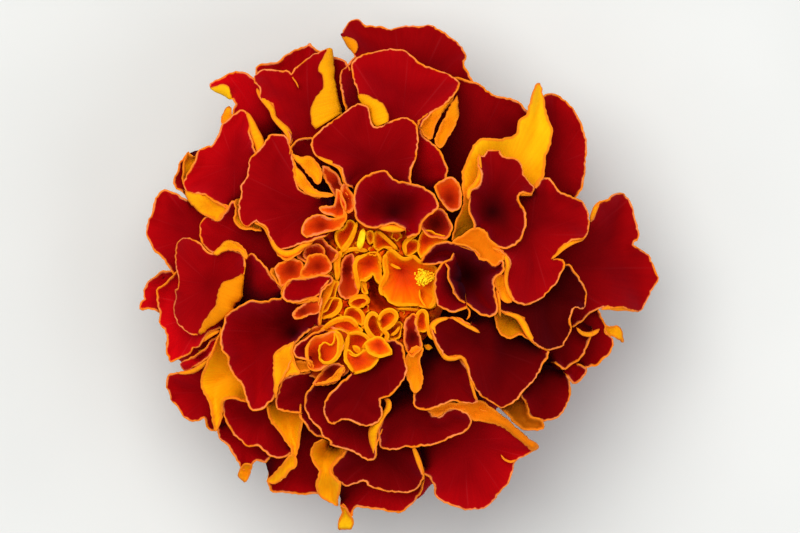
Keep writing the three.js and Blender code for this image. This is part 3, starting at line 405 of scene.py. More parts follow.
def sample_edge(edge, spacing):
    """Even samples of an edge: its free line, its fold line, and the length along it."""
    free = np.array([place(point) for point in edge])
    fold = np.array([place(point[-2:]) for point in edge])
    both = smooth_curve(np.hstack([free, fold]))
    steps = np.maximum(np.linalg.norm(np.diff(both[:, :2], axis=0), axis=1),
                       np.linalg.norm(np.diff(both[:, 2:], axis=0), axis=1))
    travelled = np.concatenate([[0], np.cumsum(steps)])
    count = max(FEWEST_STEPS, int(round(travelled[-1] / spacing)))
    at = np.linspace(0, travelled[-1], count + 1)
    even = np.stack([np.interp(at, travelled, column) for column in both.T], axis=1)
    along = length_along(even[:, :2])
    crinkle = CRINKLE * (np.sin(6.9 * along + 3 * np.sin(1.7 * along))
                         + 0.7 * np.sin(2.9 * along + 2 * np.sin(0.8 * along)))
    shift = crinkle[:, None] * sideways(even[:, :2])
    return even[:, :2] + shift, even[:, 2:] + shift, along


print(f"the first petal's edge is {sample_edge(PETALS[0][-1], EDGE_SPACING)[2][-1]:.1f} mm long")

# %% [markdown]
# ## Questions about an outline
#
# To fill an outline, three things have to be known: how far a point is from a line, whether it
# is inside, and which way round the outline goes. Blender has a tree of nearest faces for the
# first, but these shapes are flat and small, and arithmetic on all points at once is quick.

# %% Questions about an outline
def distance_to_line(points, line):
    """Distance from each point to the nearest place on an open line."""
    a, b = line[:-1], line[1:]
    ab = b - a
    length = np.maximum((ab ** 2).sum(1), 1e-12)
    t = np.clip(((points[:, None] - a) * ab).sum(2) / length, 0, 1)
    return np.linalg.norm(points[:, None] - (a + t[..., None] * ab), axis=2).min(1)


def inside(points, outline):
    """Whether a line to the left of each point crosses the outline an odd number of times."""
    a, b = outline, np.roll(outline, -1, axis=0)
    y = points[:, 1][:, None]
    crosses = (a[:, 1] > y) != (b[:, 1] > y)
    slope = (b[:, 0] - a[:, 0]) / np.where(b[:, 1] == a[:, 1], 1e-12, b[:, 1] - a[:, 1])
    x = a[:, 0] + (y - a[:, 1]) * slope
    return (crosses & (points[:, 0][:, None] < x)).sum(1) % 2 == 1


def signed_area(outline):
    """Area of an outline, below zero when it runs clockwise."""
    x, y = outline[:, 0], outline[:, 1]
    return 0.5 * np.sum(x * np.roll(y, -1) - np.roll(x, -1) * y)


first_edge = sample_edge(PETALS[0][-1], EDGE_SPACING)[0]
print(f"the first petal covers {signed_area(first_edge):.0f} square millimetres")

# %% [markdown]
# ## Closing an outline behind the throat
#
# The photograph shows only the free edge. The narrow end of a petal is hidden under its
# neighbours, so the outline is closed there by an arc round the far side of the throat. A
# petal that is rolled right round its throat needs only a short straight line.

# %% Closing an outline behind the throat
CLOSING_SPACING = 0.4


def angles_round(line, centre):
    """The direction of each point of a line from a centre, counted on past a full turn."""
    return np.unwrap(np.arctan2(line[:, 1] - centre[1], line[:, 0] - centre[0]))


def straight_end(line):
    """Points that close a line by the straight way back to its start."""
    start, end = line[-1], line[0]
    count = max(1, int(np.linalg.norm(end - start) / CLOSING_SPACING))
    return start + (end - start) * (np.arange(1, count + 1) / (count + 1))[:, None]


def arc_behind(line, centre, behind):
    """Points that close a line round the far side of a centre, the way the line turns."""
    angle = angles_round(line, centre)
    sense = 1.0 if angle[-1] > angle[0] else -1.0
    left = 2 * math.pi - abs(angle[-1] - angle[0])
    near, far = (np.linalg.norm(line[k] - centre) for k in (-1, 0))
    count = max(3, int(left * 0.5 * (near + far) / CLOSING_SPACING))
    t = np.arange(1, count + 1) / (count + 1)
    radius = near + (far - near) * t
    pull = np.sqrt(np.sin(math.pi * t))
    radius = radius * (1 - pull) + np.minimum(radius, behind) * pull
    turned = angle[-1] + sense * left * t
    return centre + np.stack([np.cos(turned), np.sin(turned)], axis=1) * radius[:, None]


print("the first petal is closed by", len(arc_behind(first_edge, place(PETALS[0][1]), 4.6)),
      "points behind its throat")

# %% [markdown]
# ## Filling an outline
#
# bmesh's own triangle fill would leave long triangles with nothing inside to shape. So the
# outline gets rows of points close along the free edge, where the thin orange line has to be
# crisp, and an even net of points inside. Blender's tool for triangles between points then
# joins them into ones that are as even as can be.

# %% Filling an outline
GRID_SPACING = 0.5
MARGIN_ROWS = (0.13, 0.28, 0.46, 0.75)
MARGIN_CLEAR = 0.93
NET_ROW = 0.87
NET_CLEAR = 0.3
TOO_CLOSE = 0.1


def margin_points(outline, free):
    """Rows of points just inside the free edge, each row kept clear of the other edges."""
    closed = np.vstack([outline, outline[:1]])
    inward = sideways(free) * (1.0 if signed_area(outline) > 0 else -1.0)
    rows = [np.empty((0, 2))]
    for offset in MARGIN_ROWS:
        row = free + inward * offset
        row = row[inside(row, outline)]
        rows.append(row[distance_to_line(row, closed) > offset * MARGIN_CLEAR])
    return np.vstack(rows)


def net_points(outline, spacing):
    """Points inside the margin, in rows that are shifted by half a step in turn."""
    closed = np.vstack([outline, outline[:1]])
    low, high = outline.min(0), outline.max(0)
    net = [(x, y) for row, y in enumerate(np.arange(low[1], high[1], spacing * NET_ROW))
           for x in np.arange(low[0] + (row % 2) * spacing / 2, high[0], spacing)]
    net = np.array(net).reshape(-1, 2)
    net = net[inside(net, outline)]
    return net[distance_to_line(net, closed) > max(MARGIN_ROWS) + NET_CLEAR * spacing]


def fill_outline(outline, free, spacing):
    """Points and triangles that fill an outline; its own points come first."""
    extra = np.vstack([margin_points(outline, free), net_points(outline, spacing)])
    for shift in (0.0, 0.5):
        _, keep = np.unique(np.floor(extra / TOO_CLOSE + shift), axis=0, return_index=True)
        extra = extra[np.sort(keep)]
    found = delaunay_2d_cdt([Vector(p) for p in np.vstack([outline, extra])], [],
                            [list(range(len(outline)))], 1, 1e-5)
    points = np.array([tuple(v) for v in found[0]])
    triangles = np.array([face for face in found[2] if len(face) == 3])
    a, b, c = (points[triangles[:, k]] for k in range(3))
    area = (b[:, 0] - a[:, 0]) * (c[:, 1] - a[:, 1]) - (b[:, 1] - a[:, 1]) * (c[:, 0] - a[:, 0])
    triangles[area < 0] = triangles[area < 0][:, ::-1]
    return points, triangles[np.abs(area) > 1e-7]


points, triangles = fill_outline(first_edge, first_edge, GRID_SPACING)
print(f"the first petal is filled with {len(points)} points and {len(triangles)} triangles")

# %% [markdown]
# ## Parts, and what they tell the materials
#
# Every petal and floret starts as a part of its own, in its own bmesh: from a filled outline,
# or from bmesh's grid, whose vertices are then moved to their places. A grid that runs round a
# tube has its last column welded to its first.
#
# The materials have to know where on a petal they are. An image would need a UV map for every
# petal; numbers on the vertices are simpler: the distance from the free edge, how far out from
# the throat the place is (0 to 1), the direction round the throat, the youth and the tone of
# painted light and shade.

# %% Parts, and what they tell the materials
FAR_FROM_EDGE = 3.0


def filled_part(places, triangles):
    """A part from the points and triangles of a filled outline."""
    part = bmesh.new()
    corners = [part.verts.new(position) for position in places]
    for triangle in triangles:
        part.faces.new([corners[k] for k in triangle])
    return part


def grid_part(places, ring=False):
    """A part from rows of places; in a ring the last place of a row is next to the first."""
    rows, columns = places.shape[:2]
    part = bmesh.new()
    bmesh.ops.create_grid(part, x_segments=columns if ring else columns - 1,
                          y_segments=rows - 1, size=1.0)
    if ring:
        part.verts.ensure_lookup_table()
        wide = columns + 1
        bmesh.ops.weld_verts(part, targetmap={
            part.verts[row * wide + columns]: part.verts[row * wide] for row in range(rows)})
    for vertex, position in zip(part.verts, places.reshape(-1, 3)):
        vertex.co = position
    return part


def mark(part, edge, reach, around, youth=0.0, tone=1.0):
    """Writes the five numbers on a part, each as one value for all or one for each vertex."""
    for title, value in (("edge", edge), ("reach", reach), ("youth", youth),
                         ("around", around), ("tone", tone)):
        layer = part.verts.layers.float.new(title)
        for vertex, number in zip(part.verts, np.broadcast_to(np.ravel(value), len(part.verts))):
            vertex[layer] = number


flat_petal = filled_part(np.column_stack([points, 0 * points[:, 0]]), triangles)
mark(flat_petal, FAR_FROM_EDGE, 1.0, 0.0)
print("the numbers on a part are", flat_petal.verts.layers.float.keys())

# %% [markdown]
# ## Thickness
#
# A real petal is a quarter of a millimetre thick and thins out to its edge. Solidify gives one
# thickness everywhere, which makes an edge look like card. So the sheet is extruded with its
# original kept, which closes it all round, and its two sides are moved apart along the
# normals, less near the edge. Each side gets its own material.

# %% Thickness
FACE, REVERSE, STIGMA = 0, 1, 2
PETAL_THICKNESS = 0.26
THIN_SHARE = 0.45
THIN_FOR = 0.8


def thicken(part, thickness, top=FACE, towards=(0, 0, 1)):
    """Makes a marked sheet a closed petal whose top looks towards a direction."""
    part.normal_update()
    if sum(vertex.normal.dot(towards) for vertex in part.verts) < 0:
        bmesh.ops.reverse_faces(part, faces=part.faces)
        part.normal_update()
    edge = part.verts.layers.float["edge"]
    apart = part.verts.layers.float_vector.new("apart")
    for vertex in part.verts:
        share = min(1.0, THIN_SHARE + vertex[edge] / THIN_FOR)
        vertex[apart] = vertex.normal * (0.5 * thickness * share)
    below, red_side = part.verts[:], part.faces[:]
    above = bmesh.ops.extrude_face_region(
        part, geom=part.verts[:] + part.edges[:] + part.faces[:], use_keep_orig=True)["geom"]
    for vertex in below:
        vertex.co -= vertex[apart]
    for vertex in (item for item in above if isinstance(item, bmesh.types.BMVert)):
        vertex.co += vertex[apart]
    part.verts.layers.float_vector.remove(apart)
    if top == FACE:
        red_side = [item for item in above if isinstance(item, bmesh.types.BMFace)]
    give_material(part.faces, REVERSE)
    give_material(red_side, FACE)


def give_material(faces, number):
    for face in faces:
        face.material_index = number


thicken(flat_petal, PETAL_THICKNESS)
print("a thick petal is closed:", all(edge.is_manifold for edge in flat_petal.edges))

# %% [markdown]
# ## From parts to pieces
#
# A piece of the bloom is many parts in one mesh. Before a part joins its piece, its faces are
# turned outwards and cut into triangles, so that the export can't choose another diagonal.
# No operator joins two bmeshes, but a bmesh can read any number of meshes.

# %% From parts to pieces
def close_ends(tube, with_middle=False):
    """Closes the open ends of a tube, with a vertex in the middle of each if it is wide."""
    rims = [edge for edge in tube.edges if edge.is_boundary]
    ends = bmesh.ops.holes_fill(tube, edges=rims, sides=0)["faces"]
    if with_middle:
        bmesh.ops.poke(tube, faces=ends)


def to_mesh(gathered, title):
    """A mesh with what was gathered in a bmesh, which is freed."""
    mesh = bpy.data.meshes.new(title)
    gathered.to_mesh(mesh)
    gathered.free()
    return mesh


def join(piece, part):
    """Adds a finished part to its piece."""
    bmesh.ops.recalc_face_normals(part, faces=part.faces)
    bmesh.ops.triangulate(part, faces=part.faces, quad_method="FIXED")
    mesh = to_mesh(part, "part")
    piece.from_mesh(mesh)
    bpy.data.meshes.remove(mesh)


def measure(title, piece):
    print(f"{title}: {len(piece.verts)} vertices, {len(piece.faces)} triangles")


trial = bmesh.new()
join(trial, flat_petal)
measure("a piece of one flat petal", trial)
trial.free()

# %% [markdown]
# ## Waves and dents
#
# A marigold's petal is ruffled, because its edge grows faster than its middle. Long sine waves
# with a fine crinkle lift and lower the edge, noise buckles the surface, and the heights of
# the rim are spread inwards, so that the waves die out towards the throat. A Displace
# modifier could do the noise, but not follow each petal's own edge.

# %% Waves and dents
RUFFLE_HEIGHT = 0.55
RUFFLE_LENGTH = 6.5
CRINKLE_HEIGHT = 0.09
CRINKLE_LENGTH = 1.15
NOISE_GAIN = 1.6
SEED_STEP = 7.3
RIM_WIDTH = 0.03
RIM_POWER = 1.6


def ruffle(along, phase):
    """Waves along an edge: long ones, and a fine crinkle on them."""
    waves = RUFFLE_HEIGHT * np.sin(2 * math.pi * along / RUFFLE_LENGTH + phase)
    uneven = 2 * math.pi * along / CRINKLE_LENGTH + 2 * np.sin(along)
    return waves + CRINKLE_HEIGHT * np.sin(uneven + phase)


def soft_noise(points, size, seed):
    """Smooth noise in the plane, about -1 to 1."""
    return NOISE_GAIN * np.array([noise.noise(Vector((x / size, y / size, seed * SEED_STEP)))
                                  for x, y in points])


def rim_blend(points, rim, values):
    """Values of the rim spread inwards, each point taking most from the nearest rim."""
    gap2 = ((points[:, None] - rim) ** 2).sum(2)
    weight = 1 / (gap2 + RIM_WIDTH) ** RIM_POWER
    return (weight * values).sum(1) / weight.sum(1)


print("waves along the first 3 mm of an edge:", ruffle(np.arange(4.0), 0.0).round(2))

# %% [markdown]
# ## The surface of an open petal
#
# An open petal comes up out of its hidden throat, bends over, and runs out to its free edge.
# How far out a point is, from 0 at the arc behind the throat to 1 at the edge, follows from
# its distance to both. A curve with three heights, bottom, knee and rim, gives its height.

# %% The surface of an open petal
THROAT_SINK = 6.5
FACE_SINK = 2.2
TURNED_SINK = 1.2
KNEE_OVER_RIM = 2.5


def fan_height(points, arc, fold, rim_height, level, kind):
    """Height of an open petal, how far out its points are, and their distance to the edge."""
    to_edge = distance_to_line(points, fold)
    to_arc = distance_to_line(points, arc)
    out = to_arc / np.maximum(to_arc + to_edge, 1e-6)
    sink = TURNED_SINK if kind == "back" else 0.0
    t = np.linspace(0, 1, len(arc))
    depth = rim_blend(points, arc, (THROAT_SINK + sink)
                      * (0.3 + 0.7 * np.sin(math.pi * t) ** 0.6))
    bottom = dome_height(points, level) - depth
    rim = rim_blend(points, fold, rim_height)
    knee = np.minimum(dome_height(points, level) - FACE_SINK - sink, rim + KNEE_OVER_RIM)
    return (1 - out) ** 2 * bottom + 2 * out * (1 - out) * knee + out ** 2 * rim, out, to_edge


print(f"an open petal's throat is {THROAT_SINK} mm under the dome, its middle {FACE_SINK} mm")

# %% [markdown]
# ## The surface of a rolled petal
#
# Some petals round the disc are rolled into cups, bowls and dishes. Spinning a profile would
# make every side alike, and their rims are lobed. So here too the height follows how far out
# a point is, on a curve with a rounded bottom and steep walls.

# %% The surface of a rolled petal
CUP_DEPTH = {"cup": 7.0, "bowl": 3.6, "dish": 1.5, "goblet": 4.6}
DEEPEST_CUP = 8.0
STEEPER = 0.44


def cup_height(points, throat, fold, rim_height, level, depth):
    """Height of a rolled petal, how far out its points are, and their distance to the edge."""
    to_edge = distance_to_line(points, fold)
    to_throat = np.sqrt(((points - throat) ** 2).sum(1) + 0.5) - 0.7
    out = to_throat / np.maximum(to_throat + to_edge, 1e-6)
    rim = rim_blend(points, fold, rim_height)
    bottom = dome_height(throat, level) - depth
    # The way up the wall, v, goes by (1 + STEEPER) v - STEEPER v v = out.
    whole = 1 + STEEPER
    v = (whole - np.sqrt(whole ** 2 - 4 * STEEPER * np.clip(out, 0, 1))) / (2 * STEEPER)
    return bottom + (rim - bottom) * (0.4 * v + 0.6 * v * v), out, to_edge


print("depths of the rolled petals in mm:", CUP_DEPTH)

# %% [markdown]
# ## Edges that are folded over
#
# On a few petals a strip of the edge is folded over onto the red face and shows its golden
# reverse. Folding it out of the petal's own sheet would mean cutting that first, so it is a
# bmesh grid of its own that arches from the fold over to the free edge.

# %% Edges that are folded over
LAP_LIFT = 1.1
LAP_ROWS = 9
LAP_LEAST_RISE = 0.25
LAP_ARCH = 0.35
NARROWEST_LAP = 0.1
FULL_LIFT_WIDTH = 1.4


def add_lap(piece, free, fold, rim_height, level, along, phase, top, tone):
    """The strips of an edge that are folded over onto their petal."""
    width = np.linalg.norm(free - fold, axis=1)
    change = np.diff(np.concatenate([[0], (width > NARROWEST_LAP).astype(int), [0]]))
    for first, last in zip(np.flatnonzero(change == 1), np.flatnonzero(change == -1)):
        if last - first < 3:
            continue
        run = slice(first, last)
        lift = LAP_LIFT * np.minimum(1, width[run] / FULL_LIFT_WIDTH)
        edge_height = dome_height(free[run], level) + lift + 0.5 * ruffle(along[run], phase)
        rise = np.maximum(edge_height - rim_height[run], LAP_LEAST_RISE * lift)
        rows, from_edge = [], []
        for s in np.linspace(0, 1, LAP_ROWS):
            ease = s - 0.05 * math.sin(2 * math.pi * s)
            z = (rim_height[run] + rise * math.sin(0.5 * math.pi * s)
                 + LAP_ARCH * lift * math.sin(math.pi * s))
            rows.append(np.column_stack([fold[run] + (free[run] - fold[run]) * ease, z]))
            from_edge.append(width[run] * (1 - s))
        part = grid_part(np.stack(rows))
        mark(part, np.stack(from_edge), 1.0, np.tile(along[run], LAP_ROWS), tone=tone)
        thicken(part, PETAL_THICKNESS, top)
        join(piece, part)


print("petals with a folded edge:",
      [petal[0] for petal in PETALS if any(len(point) == 4 for point in petal[-1])])

# %% [markdown]
# ## The narrow foot of a petal
#
# Every petal narrows to a foot in the packed bases. It isn't seen from above, but from the
# side the petals would float without it. A small grid, bent into a channel, leads from the
# lowest place of the throat down and inwards.

# %% The narrow foot of a petal
FOOT_ROOT = 13.5
FOOT_BOTTOM = 18.0
FOOT_HALF_WIDTH = 0.6
FOOT_THICKNESS = 0.4
FOOT_LEAN = 0.108
FOOT_CHANNEL = 0.25
UNDER_THROAT = 0.7


def add_foot(piece, throat, bottom, tone):
    """A channelled strip from a petal's throat to the packed bases."""
    away = throat - AXIS
    distance = max(np.linalg.norm(away), 1e-6)
    outwards = away / distance
    across = np.array([-outwards[1], outwards[0]]) * FOOT_HALF_WIDTH
    root = AXIS + outwards * min(distance, FOOT_ROOT)
    s, u = np.meshgrid(np.linspace(0, 1, 7), np.linspace(-1, 1, 5), indexing="ij")
    z = FOOT_BOTTOM + (bottom - UNDER_THROAT - FOOT_BOTTOM) * s + FOOT_CHANNEL * u * u
    plane = root + (throat - root) * s[..., None] + across * u[..., None]
    if distance < FOOT_ROOT:
        plane = plane + outwards * (FOOT_LEAN * (z - bottom))[..., None]
    part = grid_part(np.dstack([plane, z]))
    # Reach 0 paints the foot the darkest red of a throat: painted shade.
    mark(part, FAR_FROM_EDGE, 0.0, np.linspace(-1, 1, s.size), tone=tone)
    thicken(part, FOOT_THICKNESS)
    join(piece, part)


print(f"feet are {2 * FOOT_HALF_WIDTH} mm wide and stand up to {FOOT_ROOT} mm from the axis")

# %% [markdown]
# ## One whole petal
#
# Now a petal can be made: its edge is sampled, its outline closed and filled, and its points
# get their heights, with creases and soft dents. A petal whose edge goes nearly right round
# its throat is a rolled one.

# %% One whole petal
ROLLED_FROM = 305
BEHIND = {"face": 4.6, "cup": 3.0, "back": 1.4, "rolled": 0.4, "bowl": 3.0, "dish": 3.0,
          "goblet": 3.0}
CREASES, CREASE_DEPTH = 11, 0.1
DENTS = ((0.34, 3.6, 0), (0.07, 1.1, 3))
PHASE_STEP = 2.4
FULL_LAP = 0.6
YELLOW_FROM = 7.0
ORANGE_LAP = 0.68


def petal_surface(petal, index, fold, rim_height):
    """Places and triangles of a petal, its measures, and where its foot is."""
    _, throat_pixel, level, _, kind, _ = petal
    throat = place(throat_pixel)
    swept = angles_round(fold, throat)
    rolled = abs(math.degrees(swept[-1] - swept[0])) > ROLLED_FROM
    behind = straight_end(fold) if rolled else arc_behind(fold, throat, BEHIND[kind])
    points, triangles = fill_outline(np.vstack([fold, behind]), fold, GRID_SPACING)
    if rolled:
        height, out, to_edge = cup_height(points, throat, fold, rim_height, level,
                                          CUP_DEPTH.get(kind, DEEPEST_CUP))
        foot = throat
    else:
        height, out, to_edge = fan_height(points, behind, fold, rim_height, level, kind)
        foot = behind[len(behind) // 2] * 0.8 + throat * 0.2
    around = np.arctan2(points[:, 1] - throat[1], points[:, 0] - throat[0])
    creases = CREASE_DEPTH * np.clip(out, 0, 0.7) * np.sin(CREASES * around + index * PHASE_STEP)
    dents = sum(high * soft_noise(points, wide, index + shift) for high, wide, shift in DENTS)
    height = height + 4 * out * (1 - out) * (dents + creases)
    away = math.atan2(*(fold.mean(0) - throat)[::-1])
    around = (around - away + math.pi) % (2 * math.pi) - math.pi
    nearest = np.argmin(((points - foot) ** 2).sum(1))
    places = np.column_stack([points, height])
    return places, triangles, out, to_edge, around, places[nearest]


def add_petal(piece, petal, index):
    """A petal with its folded edge and its foot."""
    name, throat_pixel, level, tone, kind, edge = petal
    phase = index * PHASE_STEP
    top, folded = (REVERSE, FACE) if kind == "back" else (FACE, REVERSE)
    free, fold, along = sample_edge(edge, EDGE_SPACING)
    lap = np.clip(np.linalg.norm(free - fold, axis=1) / FULL_LAP, 0, 1)
    rim_height = dome_height(fold, level) + ruffle(along, phase) * (1 - lap)
    places, triangles, out, to_edge, around, foot = petal_surface(petal, index, fold, rim_height)
    # Shallow dishes are light down to their bottom, with little painted shade, and the goblet's
    # painted shade reaches higher up.
    out = {"dish": 0.6 + 0.4 * out, "goblet": out ** 1.5}.get(kind, out)
    # A turned petal is orange near its throat and grows yellow towards its tip.
    fading = tone
    if kind == "back" and tone > 1:
        from_throat = np.linalg.norm(places[:, :2] - place(throat_pixel), axis=1)
        fading = 1 + (tone - 1) * np.clip(from_throat / YELLOW_FROM - 0.25, 0.1, 1)
    # Where the edge is folded over, the orange line is on the lap and not on the sheet.
    to_edge = to_edge + FAR_FROM_EDGE * np.clip(rim_blend(places[:, :2], fold, lap) - 0.3, 0, 1)
    part = filled_part(places, triangles)
    mark(part, to_edge, out, around, tone=fading)
    thicken(part, PETAL_THICKNESS, top)
    join(piece, part)
    add_lap(piece, free, fold, rim_height, level, along, phase, folded,
            ORANGE_LAP if name == "left_bone" else tone)
    add_foot(piece, foot[:2], foot[2], tone)


trial = bmesh.new()
add_petal(trial, PETALS[0], 0)
measure("the whole first petal", trial)
trial.free()

# %% [markdown]
# ## All the petals of the photograph
#
# The petals are gathered into three pieces, so that none has too many triangles: the inner
# ones, and the outer ones above and below the disc.

# %% All the petals of the photograph
INNER_WITHIN = 13
pieces = {"upper_petals": bmesh.new(), "inner_petals": bmesh.new(), "lower_petals": bmesh.new()}
for index, petal in enumerate(PETALS):
    middle = np.mean([place(point) for point in petal[-1]], axis=0) - AXIS
    title = "upper_petals" if middle[1] > 0 else "lower_petals"
    if np.linalg.norm(middle) < INNER_WITHIN:
        title = "inner_petals"
    add_petal(pieces[title], petal, index)
for title, piece in pieces.items():
    measure(title, piece)

# %% [markdown]
# ## Petals that the photograph hides
#
# Under the bloom two more rings of petals bend back round the green cup: out from the packed
# bases, over, and down, with the tips of the lowest ring on the surface. Nobody can read them,
# so they are regular: a grid, bent by a few formulas, a little different for each petal.

# %% Petals that the photograph hides
HIDDEN_RINGS = (
    {"count": 9, "radius": 21.4, "height": 8.2, "step": 1.4, "bend": 1.75, "width": 5.2,
     "start": 12.0},
    {"count": 8, "radius": 19.5, "height": -0.9, "step": 2.6, "bend": 2.15, "width": 5.0,
     "start": 30.0},
)
HIDDEN_ROOT = 8.5
HIDDEN_TOP = 17.6
HIDDEN_ROWS, HIDDEN_COLUMNS = 26, 19


def add_hidden_petal(piece, ring, k, seed):
    """The k-th petal of a hidden ring; v runs from root to tip and u across."""
    v, u = np.meshgrid(np.linspace(0, 1, HIDDEN_ROWS), np.linspace(-1, 1, HIDDEN_COLUMNS),
                       indexing="ij")
    azimuth = math.radians(ring["start"] + 360 * k / ring["count"] + 5 * math.sin(2.4 * k))
    out = np.array([math.cos(azimuth), math.sin(azimuth)])
    side = np.array([-out[1], out[0]])
    grown = ring["radius"] * (1 + 0.05 * math.sin(3.7 * k + 1))
    tip = ring["height"] + (k % 2) * ring["step"]
    width = (1 + ring["width"] * np.sin(2.3 * v)) * u
    reach = (HIDDEN_ROOT + (grown - HIDDEN_ROOT) * np.sin(v * ring["bend"])
             + 0.7 * v * np.sin(4 * u + 2.4 * k))
    height = HIDDEN_TOP + (tip - HIDDEN_TOP) * v ** 1.7 + 2.4 * v * v * u * u
    # The edge waves a little, and the face is fluted lengthwise.
    height = height + 0.22 * v * v * np.sin(9 * u + k) * (1 - 0.4 * np.abs(u))
    reach = reach - 0.16 * v * np.cos(12 * u + 2 * k)
    plane = AXIS + out * reach[..., None] + side * width[..., None]
    part = grid_part(np.dstack([plane, np.maximum(height, 0.5 * PETAL_THICKNESS)]))
    edge = np.minimum((1 - np.abs(u)) * ring["width"], (1 - v) * 12.0)
    # Reach runs from root to tip, so the root is painted darker: painted shade.
    mark(part, edge, v, u * 0.9 + seed)
    thicken(part, PETAL_THICKNESS, FACE, (*out, 0.3))
    join(piece, part)


pieces["under_petals"] = bmesh.new()
for seed, ring in enumerate(HIDDEN_RINGS):
    for k in range(ring["count"]):
        add_hidden_petal(pieces["under_petals"], ring, k, seed)
measure("under_petals", pieces["under_petals"])

# %% [markdown]
# ## The packed bases
#
# The narrow bases of all the petals are pressed together round the disc and never seen one by
# one, so they are one turned body: bmesh spins a line of points right round the axis, and the
# doubled points on the axis are merged. Then every point moves in or out a little, so that it
# isn't as round as turned wood.

# %% The packed bases
BASES_LINE = ((0, 12.6), (4.6, 12.6), (5.1, 16.5), (7.4, 16.8), (14.5, 17.4), (16.4, 18.4),
              (15.0, 19.6), (12.5, 20.5), (9.0, 21.5), (6.6, 21.3), (5.3, 20.0), (5.1, 18.6),
              (0, 18.6))
BASES_SIDES = 120
BASES_WOBBLE = 0.02


def turned_part(line, sides):
    """A body turned round the bloom's axis from a line of (radius, height)."""
    part = bmesh.new()
    corners = [part.verts.new((AXIS[0] + radius, AXIS[1], height)) for radius, height in line]
    for pair in zip(corners, corners[1:]):
        part.edges.new(pair)
    bmesh.ops.spin(part, geom=part.verts[:] + part.edges[:], cent=(*AXIS, 0), axis=(0, 0, 1),
                   angle=2 * math.pi, steps=sides, use_merge=True)
    bmesh.ops.remove_doubles(part, verts=part.verts, dist=1e-4)
    return part


def angles_round_axis(part):
    return np.array([math.atan2(vertex.co.y - AXIS[1], vertex.co.x - AXIS[0])
                     for vertex in part.verts])


bases = turned_part(BASES_LINE, BASES_SIDES)
for vertex, angle in zip(bases.verts, angles_round_axis(bases)):
    z = vertex.co.z
    grown = 1 + BASES_WOBBLE * math.sin(13 * angle + z) * math.sin(5 * angle + 2 * z)
    vertex.co = (*(AXIS + (np.array(vertex.co.xy) - AXIS) * grown), z)
# Reach 0 paints the bases the darkest red of a throat: painted shade.
mark(bases, FAR_FROM_EDGE, 0.0, angles_round_axis(bases))
pieces["packed_bases"] = bmesh.new()
join(pieces["packed_bases"], bases)
measure("packed_bases", pieces["packed_bases"])

# %% [markdown]
# ## The scoops of the disc
#
# The middle of the bloom is a crowd of small orange florets. A floret's mouth is a little
# scoop, red-orange inside. Its lobes curl up and are seen on their edges as bright bands, and
# between them are the stars of florets that have just opened. First the scoops, one row for
# each: the pixel of its deepest place, its level, its depth, and the pixels round its rim.

